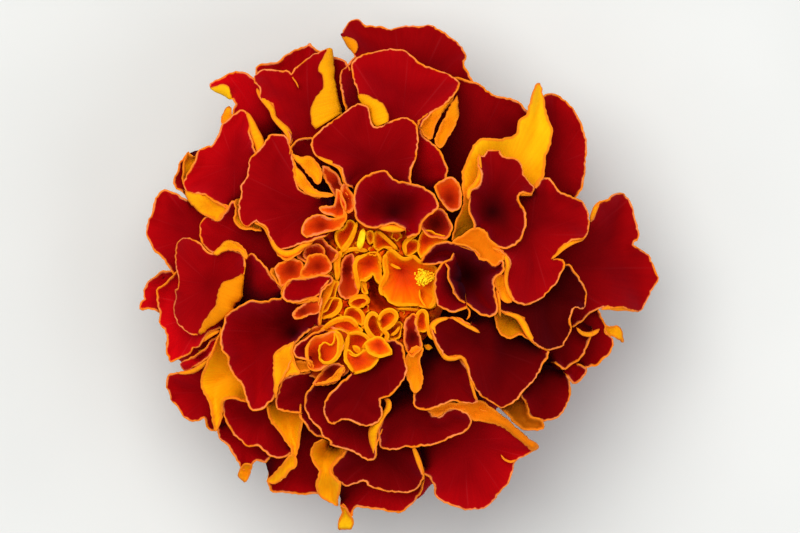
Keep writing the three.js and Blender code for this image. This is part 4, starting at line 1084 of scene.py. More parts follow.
# %% The scoops of the disc
SCOOPS = [
    # The large scoop that holds the stigma, and the floret to its left
    ((403, 270), -1.3, 2.6, [(381, 293), (386, 298), (392, 304), (396, 305.5), (405, 305.5),
     (413, 305.5), (419, 306), (425, 308), (430, 309.5), (434, 307), (436, 302), (435, 294),
     (434.5, 285), (436, 275), (437, 268), (433, 265), (427, 263), (421, 261), (417, 257.5),
     (413, 256), (409, 258), (403, 259), (398, 256), (393, 252), (389, 250), (386, 253), (385, 258),
     (384, 264), (385, 272), (384, 279), (381, 285), (380, 290)]),
    ((369, 263), -1.5, 2.0, [(368, 253), (362, 255), (356, 258), (353.5, 263), (354, 270),
     (356, 278), (358, 286), (359, 291), (361, 286), (361, 281), (366, 281), (370, 278.5),
     (373, 273.5), (375, 278), (378, 283.5), (381, 286), (382, 279), (382, 270), (381, 263),
     (379, 257), (377, 252)]),
    # Upper side of the disc
    ((348, 231), -1.2, 2.0, [(336, 231), (335.5, 238), (338, 245), (341, 250), (345, 247),
     (350, 240), (354, 231), (356, 224), (352, 220), (347, 222), (345, 227), (341, 229.5)]),
    ((384, 241), -1.6, 1.8, [(375, 232), (379, 231), (383, 235), (390, 241), (395, 246), (398, 250),
     (391, 250), (384, 248), (378, 250), (374, 246), (373, 239)]),
    ((370, 237), -1.4, 0.9, [(366, 233), (370, 230.5), (374, 233), (374, 239), (370, 244),
     (367, 240)]),
    ((412, 247), -0.9, 1.6, [(404, 243), (403.5, 249), (406, 254.5), (410, 256), (415, 253),
     (419, 248), (419, 243), (416, 240.5), (410, 239.5), (406, 240.5)]),
    ((425, 240), -0.6, 1.5, [(418, 243), (420, 236), (422, 231), (429, 231), (438, 234), (447, 237),
     (446, 241), (437, 244), (430, 249), (424, 255), (421, 259), (418, 252)]),
    # Left side of the disc
    ((330, 295), -1.1, 1.2, [(335, 281), (328, 285), (323, 293), (321, 302), (320.5, 312),
     (325, 312), (330, 306), (334, 298), (337, 289), (339, 281)]),
    ((330, 306), -1.3, 1.8, [(341, 299), (341, 306), (337.5, 313), (331, 317), (322, 318.5),
     (321, 311), (322, 304), (327, 300), (334, 297)]),
    ((364, 286), -1.9, 0.8, [(361, 280), (365, 282), (367, 287), (368, 294), (364, 293),
     (361, 288)]),
    ((360, 302), -1.4, 1.2, [(349, 303), (352, 298.5), (357, 295.5), (363, 295), (368, 297),
     (369, 301), (366.5, 305), (361, 308), (355, 308), (351, 306)]),
    ((353, 315), -1.5, 2.0, [(346, 309), (352, 307), (358, 308.5), (362.5, 313), (364, 320),
     (363, 326), (357, 323), (351, 319), (345, 317)]),
    ((345, 328), -1.2, 1.5, [(320, 334), (326, 327), (332, 322), (340, 318.5), (348, 318),
     (354, 320.5), (358, 326), (363, 331), (356, 333), (348, 333.5), (340, 330), (335, 330.5),
     (328, 333)]),
    # Lower side of the disc
    ((374, 328), -1.2, 2.6, [(378, 319), (376.5, 314), (372.5, 312), (368.5, 313.5), (366, 318),
     (365, 325), (366.5, 331), (370.5, 336), (376, 338), (382, 336), (384, 331), (380, 327)]),
    ((383, 321), -1.0, 1.3, [(379, 322), (380, 316), (384, 311.5), (390, 309.5), (395, 310.5),
     (397.5, 315), (396, 321), (391, 326), (386, 330), (383, 331), (380, 327)]),
    ((392, 329), -1.3, 1.9, [(386, 333), (388, 329), (393, 325), (398, 321.5), (402, 325),
     (401, 331), (400.5, 337), (396, 339.5), (390, 339), (387, 336)]),
    ((379, 344), 0.5, 0.7, [(364, 344), (367, 341), (371, 337.5), (376, 336), (381, 337.5),
     (386, 341), (390, 346), (392.5, 351), (391.5, 354.5), (385, 356), (378, 356.5), (372, 353.5),
     (367, 349.5)]),
    ((359, 341), -0.3, 1.9, [(348, 334), (352, 332.5), (358, 331.5), (363, 333), (368, 337),
     (370, 342), (366, 347), (362, 352), (357, 356), (351, 354), (346.5, 348), (346, 341)]),
    ((357, 358), 0.0, 1.0, [(345, 350), (344, 357), (347, 364), (351, 370), (354, 373.5),
     (362, 371.5), (370, 368.5), (376, 363.5), (379.5, 357), (373, 353), (367, 349), (361, 352),
     (355, 354), (350, 350)]),
    ((327, 352), 0.6, 2.4, [(333, 331), (338, 332), (342.5, 337), (344, 345), (341.5, 353),
     (336.5, 360), (330, 363.5), (323.5, 362.5), (319.5, 357.5), (319, 350), (321, 344),
     (326, 341.5), (331, 345), (334, 341), (334, 335)]),
    ((422, 321), -0.6, 1.2, [(416, 329), (415.5, 320), (417, 314), (421, 310), (425.5, 312),
     (427.5, 318), (428, 326), (426, 331.5), (421, 331)]),
]
print(len(SCOOPS), "scoops")

# %% [markdown]
# ## Making a scoop
#
# A scoop is a small rolled petal, made like one. It stands on a short tube that leads down
# into the packed florets. bmesh's cylinder is straight and even; a tube that leans and widens
# is a grid in rings, closed at both ends.

# %% Making a scoop
SCOOP_SPACING = 0.26
SCOOP_GRID = 0.34
SCOOP_THICKNESS = 0.22
SCOOP_SHARE = 0.8
TUBE_BOTTOM = 19.4
TUBE_RADIUS = 0.5
TUBE_WIDENS = 0.25
TUBE_SPREAD = 3.6
SCOOP_FLUTES, FLUTE_DEPTH = 7, 0.12


def ring_places(foot, top, rise, angle, radius, height):
    """Places on rings whose middles lead from a foot to a top."""
    middle = foot + (top - foot) * rise[..., None]
    round_it = np.stack([np.cos(angle), np.sin(angle)], axis=-1) * radius[..., None]
    return np.dstack([middle + round_it, height])


def rings(stations, sides):
    """How far up each place of a tube is, 0 to 1, and at what angle round it."""
    return np.meshgrid(np.linspace(0, 1, stations), np.arange(sides) * 2 * math.pi / sides,
                       indexing="ij")


def add_tube(piece, top, top_height):
    """A floret's tube, from under its mouth down into the packed florets."""
    away = max(np.linalg.norm(top - AXIS), 1e-6)
    foot = AXIS + (top - AXIS) * min(1.0, TUBE_SPREAD / away)
    s, angle = rings(5, 10)
    tube = grid_part(ring_places(foot, top, s, angle, TUBE_RADIUS * (1 + TUBE_WIDENS * s),
                                 TUBE_BOTTOM + (top_height - TUBE_BOTTOM) * s), ring=True)
    # A low reach paints the tube a dark red-orange: painted shade.
    mark(tube, FAR_FROM_EDGE, 0.3 * s, angle, youth=1.0)
    close_ends(tube)
    join(piece, tube)


def add_scoop(piece, scoop, index, youth, line=1.0, top=FACE, tone=1.0):
    """A small petal rolled round its deepest place; line widens its bright edge line."""
    deepest, level, depth, rim = scoop
    throat, phase, depth = place(deepest), index * 1.7, SCOOP_SHARE * depth
    free, _, along = sample_edge(rim + rim[:1], SCOOP_SPACING)
    free, along = free[:-1], along[:-1]
    rim_height = dome_height(free, level) + 0.18 * np.sin(along * 2.1 + phase)
    points, triangles = fill_outline(free, free, SCOOP_GRID)
    height, out, to_edge = cup_height(points, throat, free, rim_height, level, depth)
    angle = np.arctan2(points[:, 1] - throat[1], points[:, 0] - throat[0])
    height = height + 4 * out * (1 - out) * FLUTE_DEPTH * np.sin(SCOOP_FLUTES * angle + phase)
    part = filled_part(np.column_stack([points, height]), triangles)
    mark(part, to_edge / line, out, angle, youth, tone)
    thicken(part, SCOOP_THICKNESS, top)
    join(piece, part)
    if top == FACE:
        add_tube(piece, throat, dome_height(throat, level) - depth - 0.15)


disc = bmesh.new()
REDDER_LEFT_OF = 366
REDDER = 0.62
for index, scoop in enumerate(SCOOPS):
    # The florets on the left are redder inside.
    add_scoop(disc, scoop, index, 1.0 if scoop[0][0] > REDDER_LEFT_OF else REDDER)
measure("the scoops", disc)

# %% [markdown]
# ## Young petals
#
# The young petals next to the disc are scoops of the same kind, only larger and longer, and
# they belong to the ray petals. Their first number says how orange they are, from 0 to 1.

# %% Young petals
YOUNG_PETALS = [
    (0.9, (322, 226), 0.4, 1.3, [(343, 209), (343, 216), (338, 218.5), (330, 217.5), (320, 215),
     (312, 216.5), (305, 221.5), (301.5, 228), (303, 234), (307, 238), (313, 236), (320, 234.5),
     (327, 232.5), (334, 230.5), (340, 229.5), (345, 223), (347, 214)]),
    (0.3, (318, 256), -0.65, 2.4, [(296, 249), (303, 245.5), (308, 243), (315, 239), (321, 237),
     (325, 240), (329, 245), (334, 248.5), (338, 253), (334, 262), (320, 264), (305, 262),
     (297, 256)]),
    (0.5, (314, 254), -1.0, 1.2, [(304, 249), (310, 245), (317, 243.5), (322, 247), (325.5, 252),
     (322, 259), (312, 261), (304, 256)]),
    (0.9, (318, 266), 0.4, 1.1, [(301, 277), (301, 272), (304, 266), (307.5, 261), (309, 256),
     (314, 254), (321, 253.5), (327, 256.5), (330.5, 262), (331.5, 268), (329, 273), (320, 275.5),
     (310, 277.5)]),
    (0.9, (315, 357), 0.65, 1.5, [(326, 333), (318, 335.5), (310, 340), (306.5, 346), (306, 354),
     (307.5, 363), (310, 369), (316, 371.5), (322, 368.5), (328, 365), (335, 360), (341, 353),
     (344, 343), (340, 335), (333, 331)]),
    (0.45, (347, 270), -1.7, 2.2, [(342, 262), (346, 256), (352, 253), (354, 262), (354, 272),
     (357, 284), (358, 292), (354, 297), (347, 299), (341, 297), (338, 290), (340, 280),
     (341, 270)]),
    (1.0, (340, 206), 0.1, 0.8, [(336, 189), (341, 191), (344.5, 200), (346, 210), (344, 217),
     (338, 218), (332, 216), (324, 213), (318, 208), (326, 206), (333, 206), (336, 199)]),
    (0.15, (413, 337), 0.2, 2.2, [(404, 325), (405.5, 320), (409, 315.5), (413, 313), (416, 316),
     (417, 325), (420, 335), (422, 345), (418, 352), (412, 357), (408, 353), (405, 347),
     (404, 338)]),
    (0.35, (331, 371), -0.2, 1.4, [(325, 366), (320, 374), (312, 384), (322, 384.5), (330, 384),
     (338, 381), (342, 375), (345, 367), (338, 363), (331, 364)]),
    (0.5, (325, 355), -1.6, 0.6, [(299, 343), (306, 335), (313, 328), (321, 324.5), (335, 327),
     (348, 333), (352, 345), (352, 360), (348, 372), (335, 378), (318, 378), (305, 374), (297, 366),
     (295, 354)]),
    (0.75, (449, 199), 0.2, 2.0, [(434, 187), (438, 183), (445, 178.5), (452, 178), (458, 182),
     (461, 190), (461.5, 199), (459, 208), (453, 212), (446, 208), (440, 200), (436, 192)]),
    (0.4, (338, 185), -0.6, 1.6, [(322, 166), (328, 167), (335, 172), (340, 180), (345, 190),
     (350, 200), (352, 210), (345, 211), (339, 203), (334, 194), (328, 184), (323, 175)]),
    (1.0, (346, 200), 0.0, 1.0, [(342, 186), (346, 183), (350, 190), (354, 198), (355, 207),
     (351, 213), (345, 212), (342, 204), (340, 195)]),
    (0.85, (291, 269), -0.4, 0.5, [(274.5, 268.5), (279, 263), (286, 260), (295, 259), (303, 262),
     (304, 270), (301, 278), (293, 281), (286, 284), (281.5, 286.5), (278, 278.5)]),
    (0.6, (303, 311), 0.45, 0.3, [(292.5, 313), (298, 307.5), (305, 302.5), (312, 299.5),
     (322.5, 297), (322, 305), (319.5, 311.5), (311, 315), (303, 317.5), (296, 319.5),
     (292.8, 317)]),
    (0.25, (436, 224), 0.3, 3.2, [(421, 229), (421, 222), (424, 216), (430, 211), (436, 208.5),
     (442, 209), (447, 215), (450, 222), (452, 228), (450, 235), (445, 239), (437, 238),
     (428, 236)]),
]
YOUNG_LINE = 1.6
young_petals = bmesh.new()
for index, (youth, *scoop) in enumerate(YOUNG_PETALS):
    add_scoop(young_petals, scoop, index, youth, YOUNG_LINE)
measure("young_petals", young_petals)

# %% [markdown]
# ## Tips that are turned over
#
# Tips, lips and flaps of many petals are turned over and show their golden side. Folding them
# out of the petal's sheet would tear it, so they are little scoops as well, with the reverse on
# top and no tube. The first number is their tone: how yellow they are, and below a half how
# brown, which is painted shade.

# %% Tips that are turned over
TURNED_TIPS = [
    (1.0, (309, 164), 0.2, 0.5, [(291.5, 153.5), (299.7, 156.5), (309, 156.5), (317.2, 162.5),
     (322, 171), (322, 179.2), (318.3, 184), (310.2, 176.5), (302, 167), (295, 159.5)]),
    (1.0, (304, 184), 0.4, 0.5, [(293, 157), (295.5, 163.5), (302, 172.8), (309, 182), (316, 189.9),
     (325.3, 193.2), (335.8, 195.5), (330, 197), (317.2, 197), (306.7, 193.4), (299.2, 186.2),
     (294.6, 178), (293, 168)]),
    (1.7, (345, 521), -2.4, 0.4, [(343, 504), (346.8, 509), (352.8, 521.3), (352, 529.5),
     (345, 530.5), (337.7, 529.8), (337.7, 525), (341.5, 514.3), (341, 507)]),
    (0.95, (244, 475), -2.6, 0.3, [(237.3, 475.8), (240, 469), (243.2, 464), (251.3, 466),
     (251, 470), (249, 477), (245.5, 482.8), (240.8, 480.5)]),
    (1.2, (227, 116), -2.2, 0.4, [(221, 123), (221.5, 115), (225, 108.5), (229.5, 106.5),
     (231.5, 112), (231, 119), (226, 122)]),
    (1.3, (616, 332), -2.8, 0.3, [(605, 325), (611, 327), (617.5, 325), (622.2, 331.7),
     (624.5, 343.3), (618.7, 339.5), (612.8, 336.5), (606, 333)]),
    (1.15, (208, 206), -1.3, 0.4, [(184, 190), (190, 192), (200, 193), (207, 195.5), (213.5, 200),
     (221, 204), (228, 205), (226, 210), (222.5, 216), (219, 221), (212.2, 218.6), (205, 215.6),
     (198, 210.7), (193, 206), (187, 198)]),
    # The two flaps at the right edge of the large top petal
    (0.75, (436, 119), -0.9, 0.3, [(454, 93.5), (446.3, 101), (434.7, 110), (423, 117.2),
     (417.5, 124), (423.8, 134.8), (430.8, 140), (434.3, 129), (439, 118.5), (446, 109),
     (452.5, 100.5)]),
    (0.75, (449, 122), -0.3, 0.4, [(457, 95.5), (458.5, 110.3), (456, 124.3), (448.8, 136.5),
     (439, 148.5), (435, 140.7), (440.2, 126.7), (446, 115), (452, 103.3)]),
    # The fold right of the closed petal above the disc
    (0.42, (482, 243), 0.5, 0.9, [(452, 241.5), (460, 236), (467, 232), (476.3, 227.5),
     (484.5, 230), (490.3, 240.4), (499.7, 247.4), (504.3, 253.5), (502.2, 261.7), (493.8, 266),
     (485.7, 260.5), (479.8, 259.5), (475, 252.5), (466, 248.5), (456, 245)]),
    (0.9, (502, 288), 0.0, 0.5, [(493.5, 278), (498, 275.3), (503.5, 274), (505.5, 282),
     (508.5, 291), (513, 299.5), (508, 303.5), (502.5, 300), (498, 292), (495, 285)]),
    # The lap of the large petal at the lower right
    (0.5, (486, 411), -1.1, 0.5, [(430, 406), (444, 403.5), (465, 402), (479, 400.5), (491, 407),
     (505, 417.5), (516.5, 428), (528, 438), (539, 446.5), (532, 451), (526, 445.5), (516.5, 437.5),
     (502.5, 427.5), (486, 421.5), (472, 420), (466, 412), (454, 408.5), (444, 412), (437, 416.5),
     (430, 411)]),
    (0.75, (415, 368), -0.1, 1.0, [(423.3, 348), (419.8, 364.3), (423.3, 378.3), (419.8, 390),
     (415.2, 392.8), (408.2, 381), (405, 366.7), (408, 352.7), (415, 346)]),
    # Left of the bloom
    (0.5, (310, 301), 0.8, 0.1, [(295, 303), (301, 300.6), (309, 299.2), (320, 298), (320.5, 301),
     (310, 302.2), (302, 303.4)]),
    (0.3, (303, 366), 0.35, 0.4, [(293.5, 361), (303, 360.5), (311, 362.5), (314, 367),
     (310, 370.5), (303, 371.7), (296, 372.3), (292.5, 367)]),
    (1.1, (231, 246), 0.1, 0.3, [(213, 253.8), (217, 249.5), (223.7, 242.5), (230.7, 241),
     (238.8, 243), (244.7, 248.8), (248, 254.7), (246.5, 259), (244.2, 255.8), (239.5, 252),
     (230.7, 250.2), (223.7, 252), (217.8, 255)]),
    (1.15, (338, 375), 0.1, 0.4, [(314, 384), (320, 384), (326.5, 383.2), (333, 382.3),
     (338.7, 379.8), (341, 375.5), (343.4, 370), (345.5, 366), (341, 367.5), (336.5, 370.5),
     (333.5, 374.5), (330, 378), (325.5, 380.3), (320, 381.6)]),
    (1.1, (284, 362), 0.85, 0.5, [(294.5, 340.5), (284, 346.5), (275, 352), (274, 365),
     (273.5, 376.7), (275.8, 398.5), (278.8, 387), (284, 378.5), (292, 374.8), (300.8, 373.6),
     (297.5, 367), (294.8, 359), (293, 351)]),
]
pieces["rolled_edges"] = bmesh.new()
for index, (tone, *tip) in enumerate(TURNED_TIPS):
    add_scoop(pieces["rolled_edges"], tip, index, 0.0, top=REVERSE, tone=tone)
measure("the turned tips", pieces["rolled_edges"])

# %% [markdown]
# ## A band seen on its edge
#
# A lobe that curls up, or a rolled edge, shows as a bright, narrow band with a rounded top. A
# curve with a bevel would be as round below as above; a real lobe goes on down as a thin wall.
# So one section, a rounded top on a narrow foot, is set up at every step along the band, and
# the grid of all these rings is closed at both ends.

# %% A band seen on its edge
BAND_STEP = 0.16
BAND_ROUNDNESS = 0.75
BAND_TOP = [math.radians(degrees) for degrees in (-90, -66, -42, -20, 0, 20, 42, 66, 90)]
# For each corner of the section: how far across, in half widths; how far down, in half widths
# and in depths of the wall; and how far out on its petal the material takes it to be, low down
# the wall so that the wall is painted darker, as painted shade.
BAND_SECTION = np.array(
    [(math.sin(v), BAND_ROUNDNESS * (1 - math.cos(v)), 0.0, 0.9) for v in BAND_TOP]
    + [(0.9, BAND_ROUNDNESS, 0.35, 0.6), (0.6, BAND_ROUNDNESS, 1.0, 0.1),
       (-0.6, BAND_ROUNDNESS, 1.0, 0.1), (-0.9, BAND_ROUNDNESS, 0.35, 0.6)])


def add_band(piece, level, path, seed, material=FACE, depth=3.4):
    """A standing ribbon with a rounded top, along pixels that carry the width there."""
    rows = np.array([[*place(p), p[2] * MM_PER_PIXEL] for p in path])
    line = smooth_curve(rows, 8)
    length = length_along(line[:, :2])
    at = np.linspace(0, length[-1], max(7, int(length[-1] / BAND_STEP)))
    x, y, width = (np.interp(at, length, column) for column in line.T)
    middle = np.column_stack([x, y])
    end = np.sqrt(np.clip(np.minimum(at, length[-1] - at) / 0.35 + 0.05, 0, 1))
    top = dome_height(middle, level) - 0.5 * (1 - end) + 0.14 * np.sin(at * 1.9 + seed * 2.1)
    across, down, wall, reach = BAND_SECTION.T
    half, at = 0.5 * (width * end)[:, None], at[:, None]
    lean = 0.55 * math.sin(seed * 4.3)
    z = (top[:, None] - half * down - depth * wall + lean * across * half
         + 0.02 * np.sin(at * 9 + 5 * across + seed))
    plane = middle[:, None] + sideways(middle)[:, None] * (across * half)[..., None]
    band = grid_part(np.dstack([plane, z]), ring=True)
    # The section's reach paints the walls darker than the top: painted shade.
    mark(band, np.where(wall > 0, 1.0, (1 - np.abs(across)) * half),
         np.broadcast_to(reach, z.shape), np.broadcast_to(at * 0.4, z.shape), youth=1.0)
    close_ends(band)
    give_material(band.faces, material)
    join(piece, band)


print("a band's section has", len(BAND_SECTION), "corners")

# %% [markdown]
# ## Rolled edges of the petals
#
# Many ray petals are rolled over along a part of their edge, which shows as a narrow golden
# band. One row for each: its level, and the pixels along it with its width there in pixels.

# %% Rolled edges of the petals
ROLLED_EDGES = [
    # Round the closed petal above the disc and the cup to its right
    (1.75, [(379, 228.5, 2.5), (385, 228.5, 5.5), (392, 228.5, 8), (399, 229, 6.5),
     (405.5, 230, 2.5)]),
    (0.5, [(492, 247.5, 2.5), (500, 251.5, 4), (505.5, 257, 5), (507.5, 265, 5), (506, 273, 4.5),
     (506, 283, 3.5), (509, 293, 3), (513, 300, 2.5)]),
    (0.2, [(496, 289, 2), (498.5, 299, 3), (499, 310, 3), (500, 317, 2)]),
    (0.5, [(465.5, 306, 1.8), (469, 310.5, 2), (469, 315.5, 2), (466, 320, 1.6)]),
    # Top and upper right
    (0.95, [(317, 156.5, 2), (326, 161, 4), (334, 164, 5), (340, 168, 5), (343, 175, 4),
     (344.5, 184, 3)]),
    (0.5, [(479, 154, 2.5), (479.5, 165, 4), (479.5, 175, 5), (475.5, 184, 5.5), (469, 191, 5),
     (468, 200, 3)]),
    (0.7, [(519, 195, 3), (525, 194, 4), (532, 195.5, 2)]),
    # Right
    (0.35, [(551, 259, 2), (557, 254, 3), (562, 248.5, 5), (568, 244.5, 5), (575, 241.5, 4),
     (584, 239.5, 2)]),
    (-2.0, [(601, 201, 2.5), (596.5, 207, 5), (593.5, 214, 5), (590.5, 221, 3)]),
    (-2.1, [(601, 309.5, 2), (610, 308, 4), (618, 309, 4.5), (626, 309.5, 3), (637, 311.5, 2.5)]),
    (-2.0, [(576.5, 327.5, 2), (582, 333, 4), (590, 334.5, 5), (597, 331.5, 4), (600, 329, 2)]),
    (-0.4, [(498, 308, 2), (504, 312.5, 3), (511, 314.5, 4), (518, 317.5, 6), (523.5, 324.5, 7),
     (528, 333.5, 6), (534, 342, 4), (543, 349, 2.5)]),
    # Lower right
    (0.75, [(449, 317.5, 2.5), (438, 320.5, 5), (432.5, 325.5, 6), (433.5, 333, 5), (436.5, 343, 4),
     (441, 352, 4), (446, 357.5, 5), (454, 358.5, 4), (461, 357, 3), (466, 364, 3), (469, 373, 3),
     (472, 386, 3), (476, 400, 2.5)]),
    (0.9, [(451, 316.5, 2.5), (460, 321.5, 3.5), (467, 325.5, 4), (473, 328.5, 4),
     (479.5, 332.5, 2.5)]),
    (-1.7, [(501, 455, 1.6), (504.5, 459.5, 2), (511, 462, 2.5), (517, 460, 2)]),
    # Bottom
    (0.2, [(384, 398.5, 3), (388, 400.5, 5), (388.5, 407, 6), (384, 414, 5), (379, 421, 7),
     (373.5, 430, 9.5), (373, 440, 8), (374.5, 449, 5), (375.5, 458, 3)]),
    (-1.2, [(413, 446, 3), (416.5, 455, 5), (420, 465, 5), (423.5, 475, 3)]),
    # Left
    (0.85, [(311, 341, 1.8), (307.5, 347, 3.5), (307.2, 355, 3.5), (308.7, 361, 2.5),
     (311.5, 367, 1.5)]),
    (-1.3, [(220, 330.5, 2.5), (213, 333.5, 4.5), (207, 337, 5), (202, 342, 3)]),
    (-2.1, [(177, 373, 2.5), (187, 372.5, 4), (196, 369.5, 5), (203, 364.5, 4.5), (208, 358.5, 3)]),
    (-0.9, [(291, 74, 1.2), (293, 78, 1.4), (296.5, 83, 1.4), (298.5, 88, 1.2)]),
    (0.3, [(254, 222.5, 2), (264, 227, 3), (270, 237, 3.5), (276, 248, 5), (284, 253.5, 7),
     (293, 253, 7), (302, 247, 5), (313, 242.5, 3)]),
    (-0.9, [(246.5, 112, 3), (251, 121, 6), (254.5, 131, 9), (258.5, 141, 11), (260, 149, 9),
     (258, 155, 4)]),
    (-0.6, [(256.5, 88, 3), (261, 97, 4.5), (267, 103, 6.5), (272, 110, 6), (274, 117, 5),
     (280, 124, 6), (287, 131, 7), (290, 138, 6), (290, 146, 4)]),
]
ROLLED_DEPTH = 1.6
for index, (level, path) in enumerate(ROLLED_EDGES):
    add_band(pieces["rolled_edges"], level, path, index, REVERSE, ROLLED_DEPTH)
measure("rolled_edges", pieces["rolled_edges"])

# %% [markdown]
# ## Curled lobes of the florets
#
# The same rows for the lobes of the disc, which is where most of its bright lines come from.
# The last one is the style of an open floret, a yellow column that carries its stigma.

# %% Curled lobes of the florets
LOBES = [
    # The long lobes on the left
    (-0.7, [(357, 222, 3), (354.5, 231, 4.5), (350.5, 240, 5.5), (345.5, 247, 6), (341, 252, 5)]),
    (-0.8, [(342, 251, 5), (338, 257, 6.5), (337, 265, 7), (337.5, 273, 6), (337, 281, 3.5)]),
    (-0.9, [(343, 252, 4.5), (349, 250, 4.5), (356, 249, 4), (362, 250, 4.5), (368, 251, 3)]),
    (-1.2, [(336, 231, 2), (336, 239, 2.5), (339, 246, 2.5), (341, 250, 2)]),
    (-1.2, [(337, 230, 2), (343, 229, 2.5), (345.5, 224, 2)]),
    (-0.6, [(335.5, 279.5, 3), (331.5, 285, 5.5), (328.3, 291.5, 8), (325.3, 299, 7),
     (322.5, 307, 4), (321.3, 315, 2.5), (320.3, 326, 2)]),
    # Under the closed petal above the disc
    (-0.9, [(377, 231, 3), (383, 235.5, 4), (390, 242, 4), (394, 246, 4), (397.5, 249.5, 4)]),
    (-0.5, [(406.5, 254.5, 3), (404.5, 249, 4.5), (405, 243.5, 4.5), (409, 239, 4.5), (415, 235, 4),
     (420, 230, 3), (421.5, 225, 2.5)]),
    (-1.2, [(384, 246.5, 2), (389, 247.5, 2.5), (394, 249, 2.5)]),
    # Round the large scoop
    (-0.9, [(388, 249, 3), (394, 252, 4), (399, 256.5, 4), (404, 259, 4), (410, 258, 4),
     (413.5, 256.5, 4), (417, 259.5, 4), (421, 262.5, 4), (423, 264.5, 3)]),
    (-0.8, [(386, 253.5, 4), (385, 260, 5.5), (385.5, 267, 6), (386.5, 274, 6), (384, 280, 6),
     (381, 286, 4.5), (381, 292, 4), (384, 296, 3)]),
    (-1.9, [(389, 263, 2.5), (394, 266, 3), (401, 269, 2.5)]),
    (-0.8, [(437, 267, 2.5), (435.5, 276, 3), (434.5, 288, 3), (435, 297, 4), (432, 305, 5),
     (427, 308, 3)]),
    (-1.2, [(419.5, 289, 1.6), (420, 297, 2), (423, 303, 2), (427, 308, 2)]),
    (-1.1, [(393, 304.5, 2), (400, 305, 3), (410, 304.5, 3.5), (420, 305, 2)]),
    (-1.6, [(396, 309, 2), (405, 309, 3), (414, 309.5, 3), (420, 310, 2)]),
    # The floret left of it
    (-1.1, [(368, 254, 2.5), (362, 256.5, 3.5), (357, 260, 4), (355, 266, 4.5), (356, 274, 4.5),
     (357.5, 282, 4.5), (359, 290.5, 3)]),
    (-1.2, [(377, 252, 3), (380, 257, 3), (382, 263, 2.5)]),
    (-1.7, [(362, 279, 2.5), (367, 278.5, 3.5), (371, 276, 3), (373, 273.5, 2)]),
    (-1.5, [(374, 274, 2), (376.5, 280, 3), (380, 285, 2.5)]),
    (-1.9, [(361.5, 281, 2.5), (364.5, 286, 3.5), (367.5, 293, 2.5)]),
    # Lower left
    (-1.0, [(320, 332, 3.5), (326, 327, 5), (333, 322, 5.5), (341, 319, 6), (349, 319, 6),
     (355, 323, 5.5), (358, 328, 3.5)]),
    (-1.1, [(340.5, 299.5, 3.5), (340, 306, 5), (336, 312.5, 5), (329, 316, 3.5), (322, 318, 2.5)]),
    (-1.2, [(348.5, 303.5, 3), (353, 298.5, 4.5), (359, 296.5, 4.5), (365, 297, 4.5),
     (368.5, 300.5, 4), (365, 305.5, 3)]),
    (-1.4, [(354, 308, 2.5), (360, 311, 4), (363.5, 317, 4.5), (363.5, 325, 5), (362, 330, 3)]),
    (-0.1, [(348, 334, 2.5), (353, 333, 3.5), (359, 333, 4), (365, 335.5, 4), (369, 340, 4),
     (366.5, 345, 6), (362, 348, 4)]),
    (0.1, [(348.5, 334.5, 2.5), (347.5, 342, 4.5), (346, 350, 4), (345.5, 357, 3.5),
     (349, 365, 3.5), (354, 372, 3)]),
    (0.3, [(354, 373, 2.5), (362, 371, 2.5), (370, 368, 2.5), (376, 362.5, 2), (379, 357, 2)]),
    (0.1, [(352.5, 345.5, 4), (357, 349, 6.5), (360.5, 353, 5)]),
    (0.9, [(333, 331, 3.5), (338, 334, 6), (340.5, 340, 6.5), (340, 347, 6), (339, 353, 5),
     (335, 359, 4.5), (329, 362.5, 3.5), (323.5, 362, 3), (320.5, 358, 2.5)]),
    # Lower side
    (-0.3, [(378.5, 319, 3), (376, 314.5, 4), (371.5, 313.5, 5), (367.5, 318, 4.5), (366, 325, 4.5),
     (368.5, 331.5, 5), (373, 337, 5), (378, 339, 4)]),
    (-0.2, [(379, 321.5, 2.5), (381, 315, 4), (386, 311, 5), (392, 310.5, 5), (396.5, 315, 4.5),
     (395, 321, 4), (389.5, 326.5, 4.5), (384, 330.5, 4.5), (387.5, 335, 4.5), (386, 340, 4.5),
     (391, 341, 3)]),
    (-0.9, [(390, 336, 3), (396, 332, 3.5), (400, 326, 3)]),
    (0.7, [(366, 349, 2.5), (371, 353, 3), (378, 355.5, 3), (385, 355, 3), (392, 352, 3)]),
    (-0.1, [(416, 327, 2.5), (416.5, 319, 3.5), (418.5, 313, 4), (422.5, 310.5, 4), (426, 313, 4),
     (427, 320, 4), (428, 328, 3.5), (429.5, 335, 3.5), (434, 340, 2.5)]),
    (-1.4, [(424, 345, 3), (428, 347, 6), (432.5, 347.5, 3)]),
]
STYLE = (0.0, [(363.5, 228.5, 4), (362.8, 233, 6), (361.5, 239, 7), (360, 245, 6.5),
               (359.5, 250, 3.5)])
STYLE_SEED = 3
for index, (level, path) in enumerate(LOBES):
    add_band(disc, level, path, index)
add_band(disc, *STYLE, STYLE_SEED, STIGMA)
measure("the scoops and lobes", disc)

# %% [markdown]
# ## Small stars
#
# Florets that have just opened follow the spiral that such heads grow in: each is turned by
# the golden angle from the last, and its distance grows with the root of its number. A star
# is a narrow trumpet, a grid in rings whose mouth is drawn out into five lobes. None stands in
# the dark hollow or where a scoop or a young petal is.

# %% Small stars
STAR_COUNT = 46
STAR_STEP = 0.9
STAR_BOTTOM = 19.8
STAR_THICKNESS = 0.16
GOLDEN_ANGLE = 2.399963
HOLLOW = np.array([place(pixel) for pixel in ((373.5, 285), (382.5, 300))])
HOLLOW_RADIUS = 0.9
TAKEN = [np.array([place(pixel) for pixel in row[-1]]) for row in SCOOPS + YOUNG_PETALS]


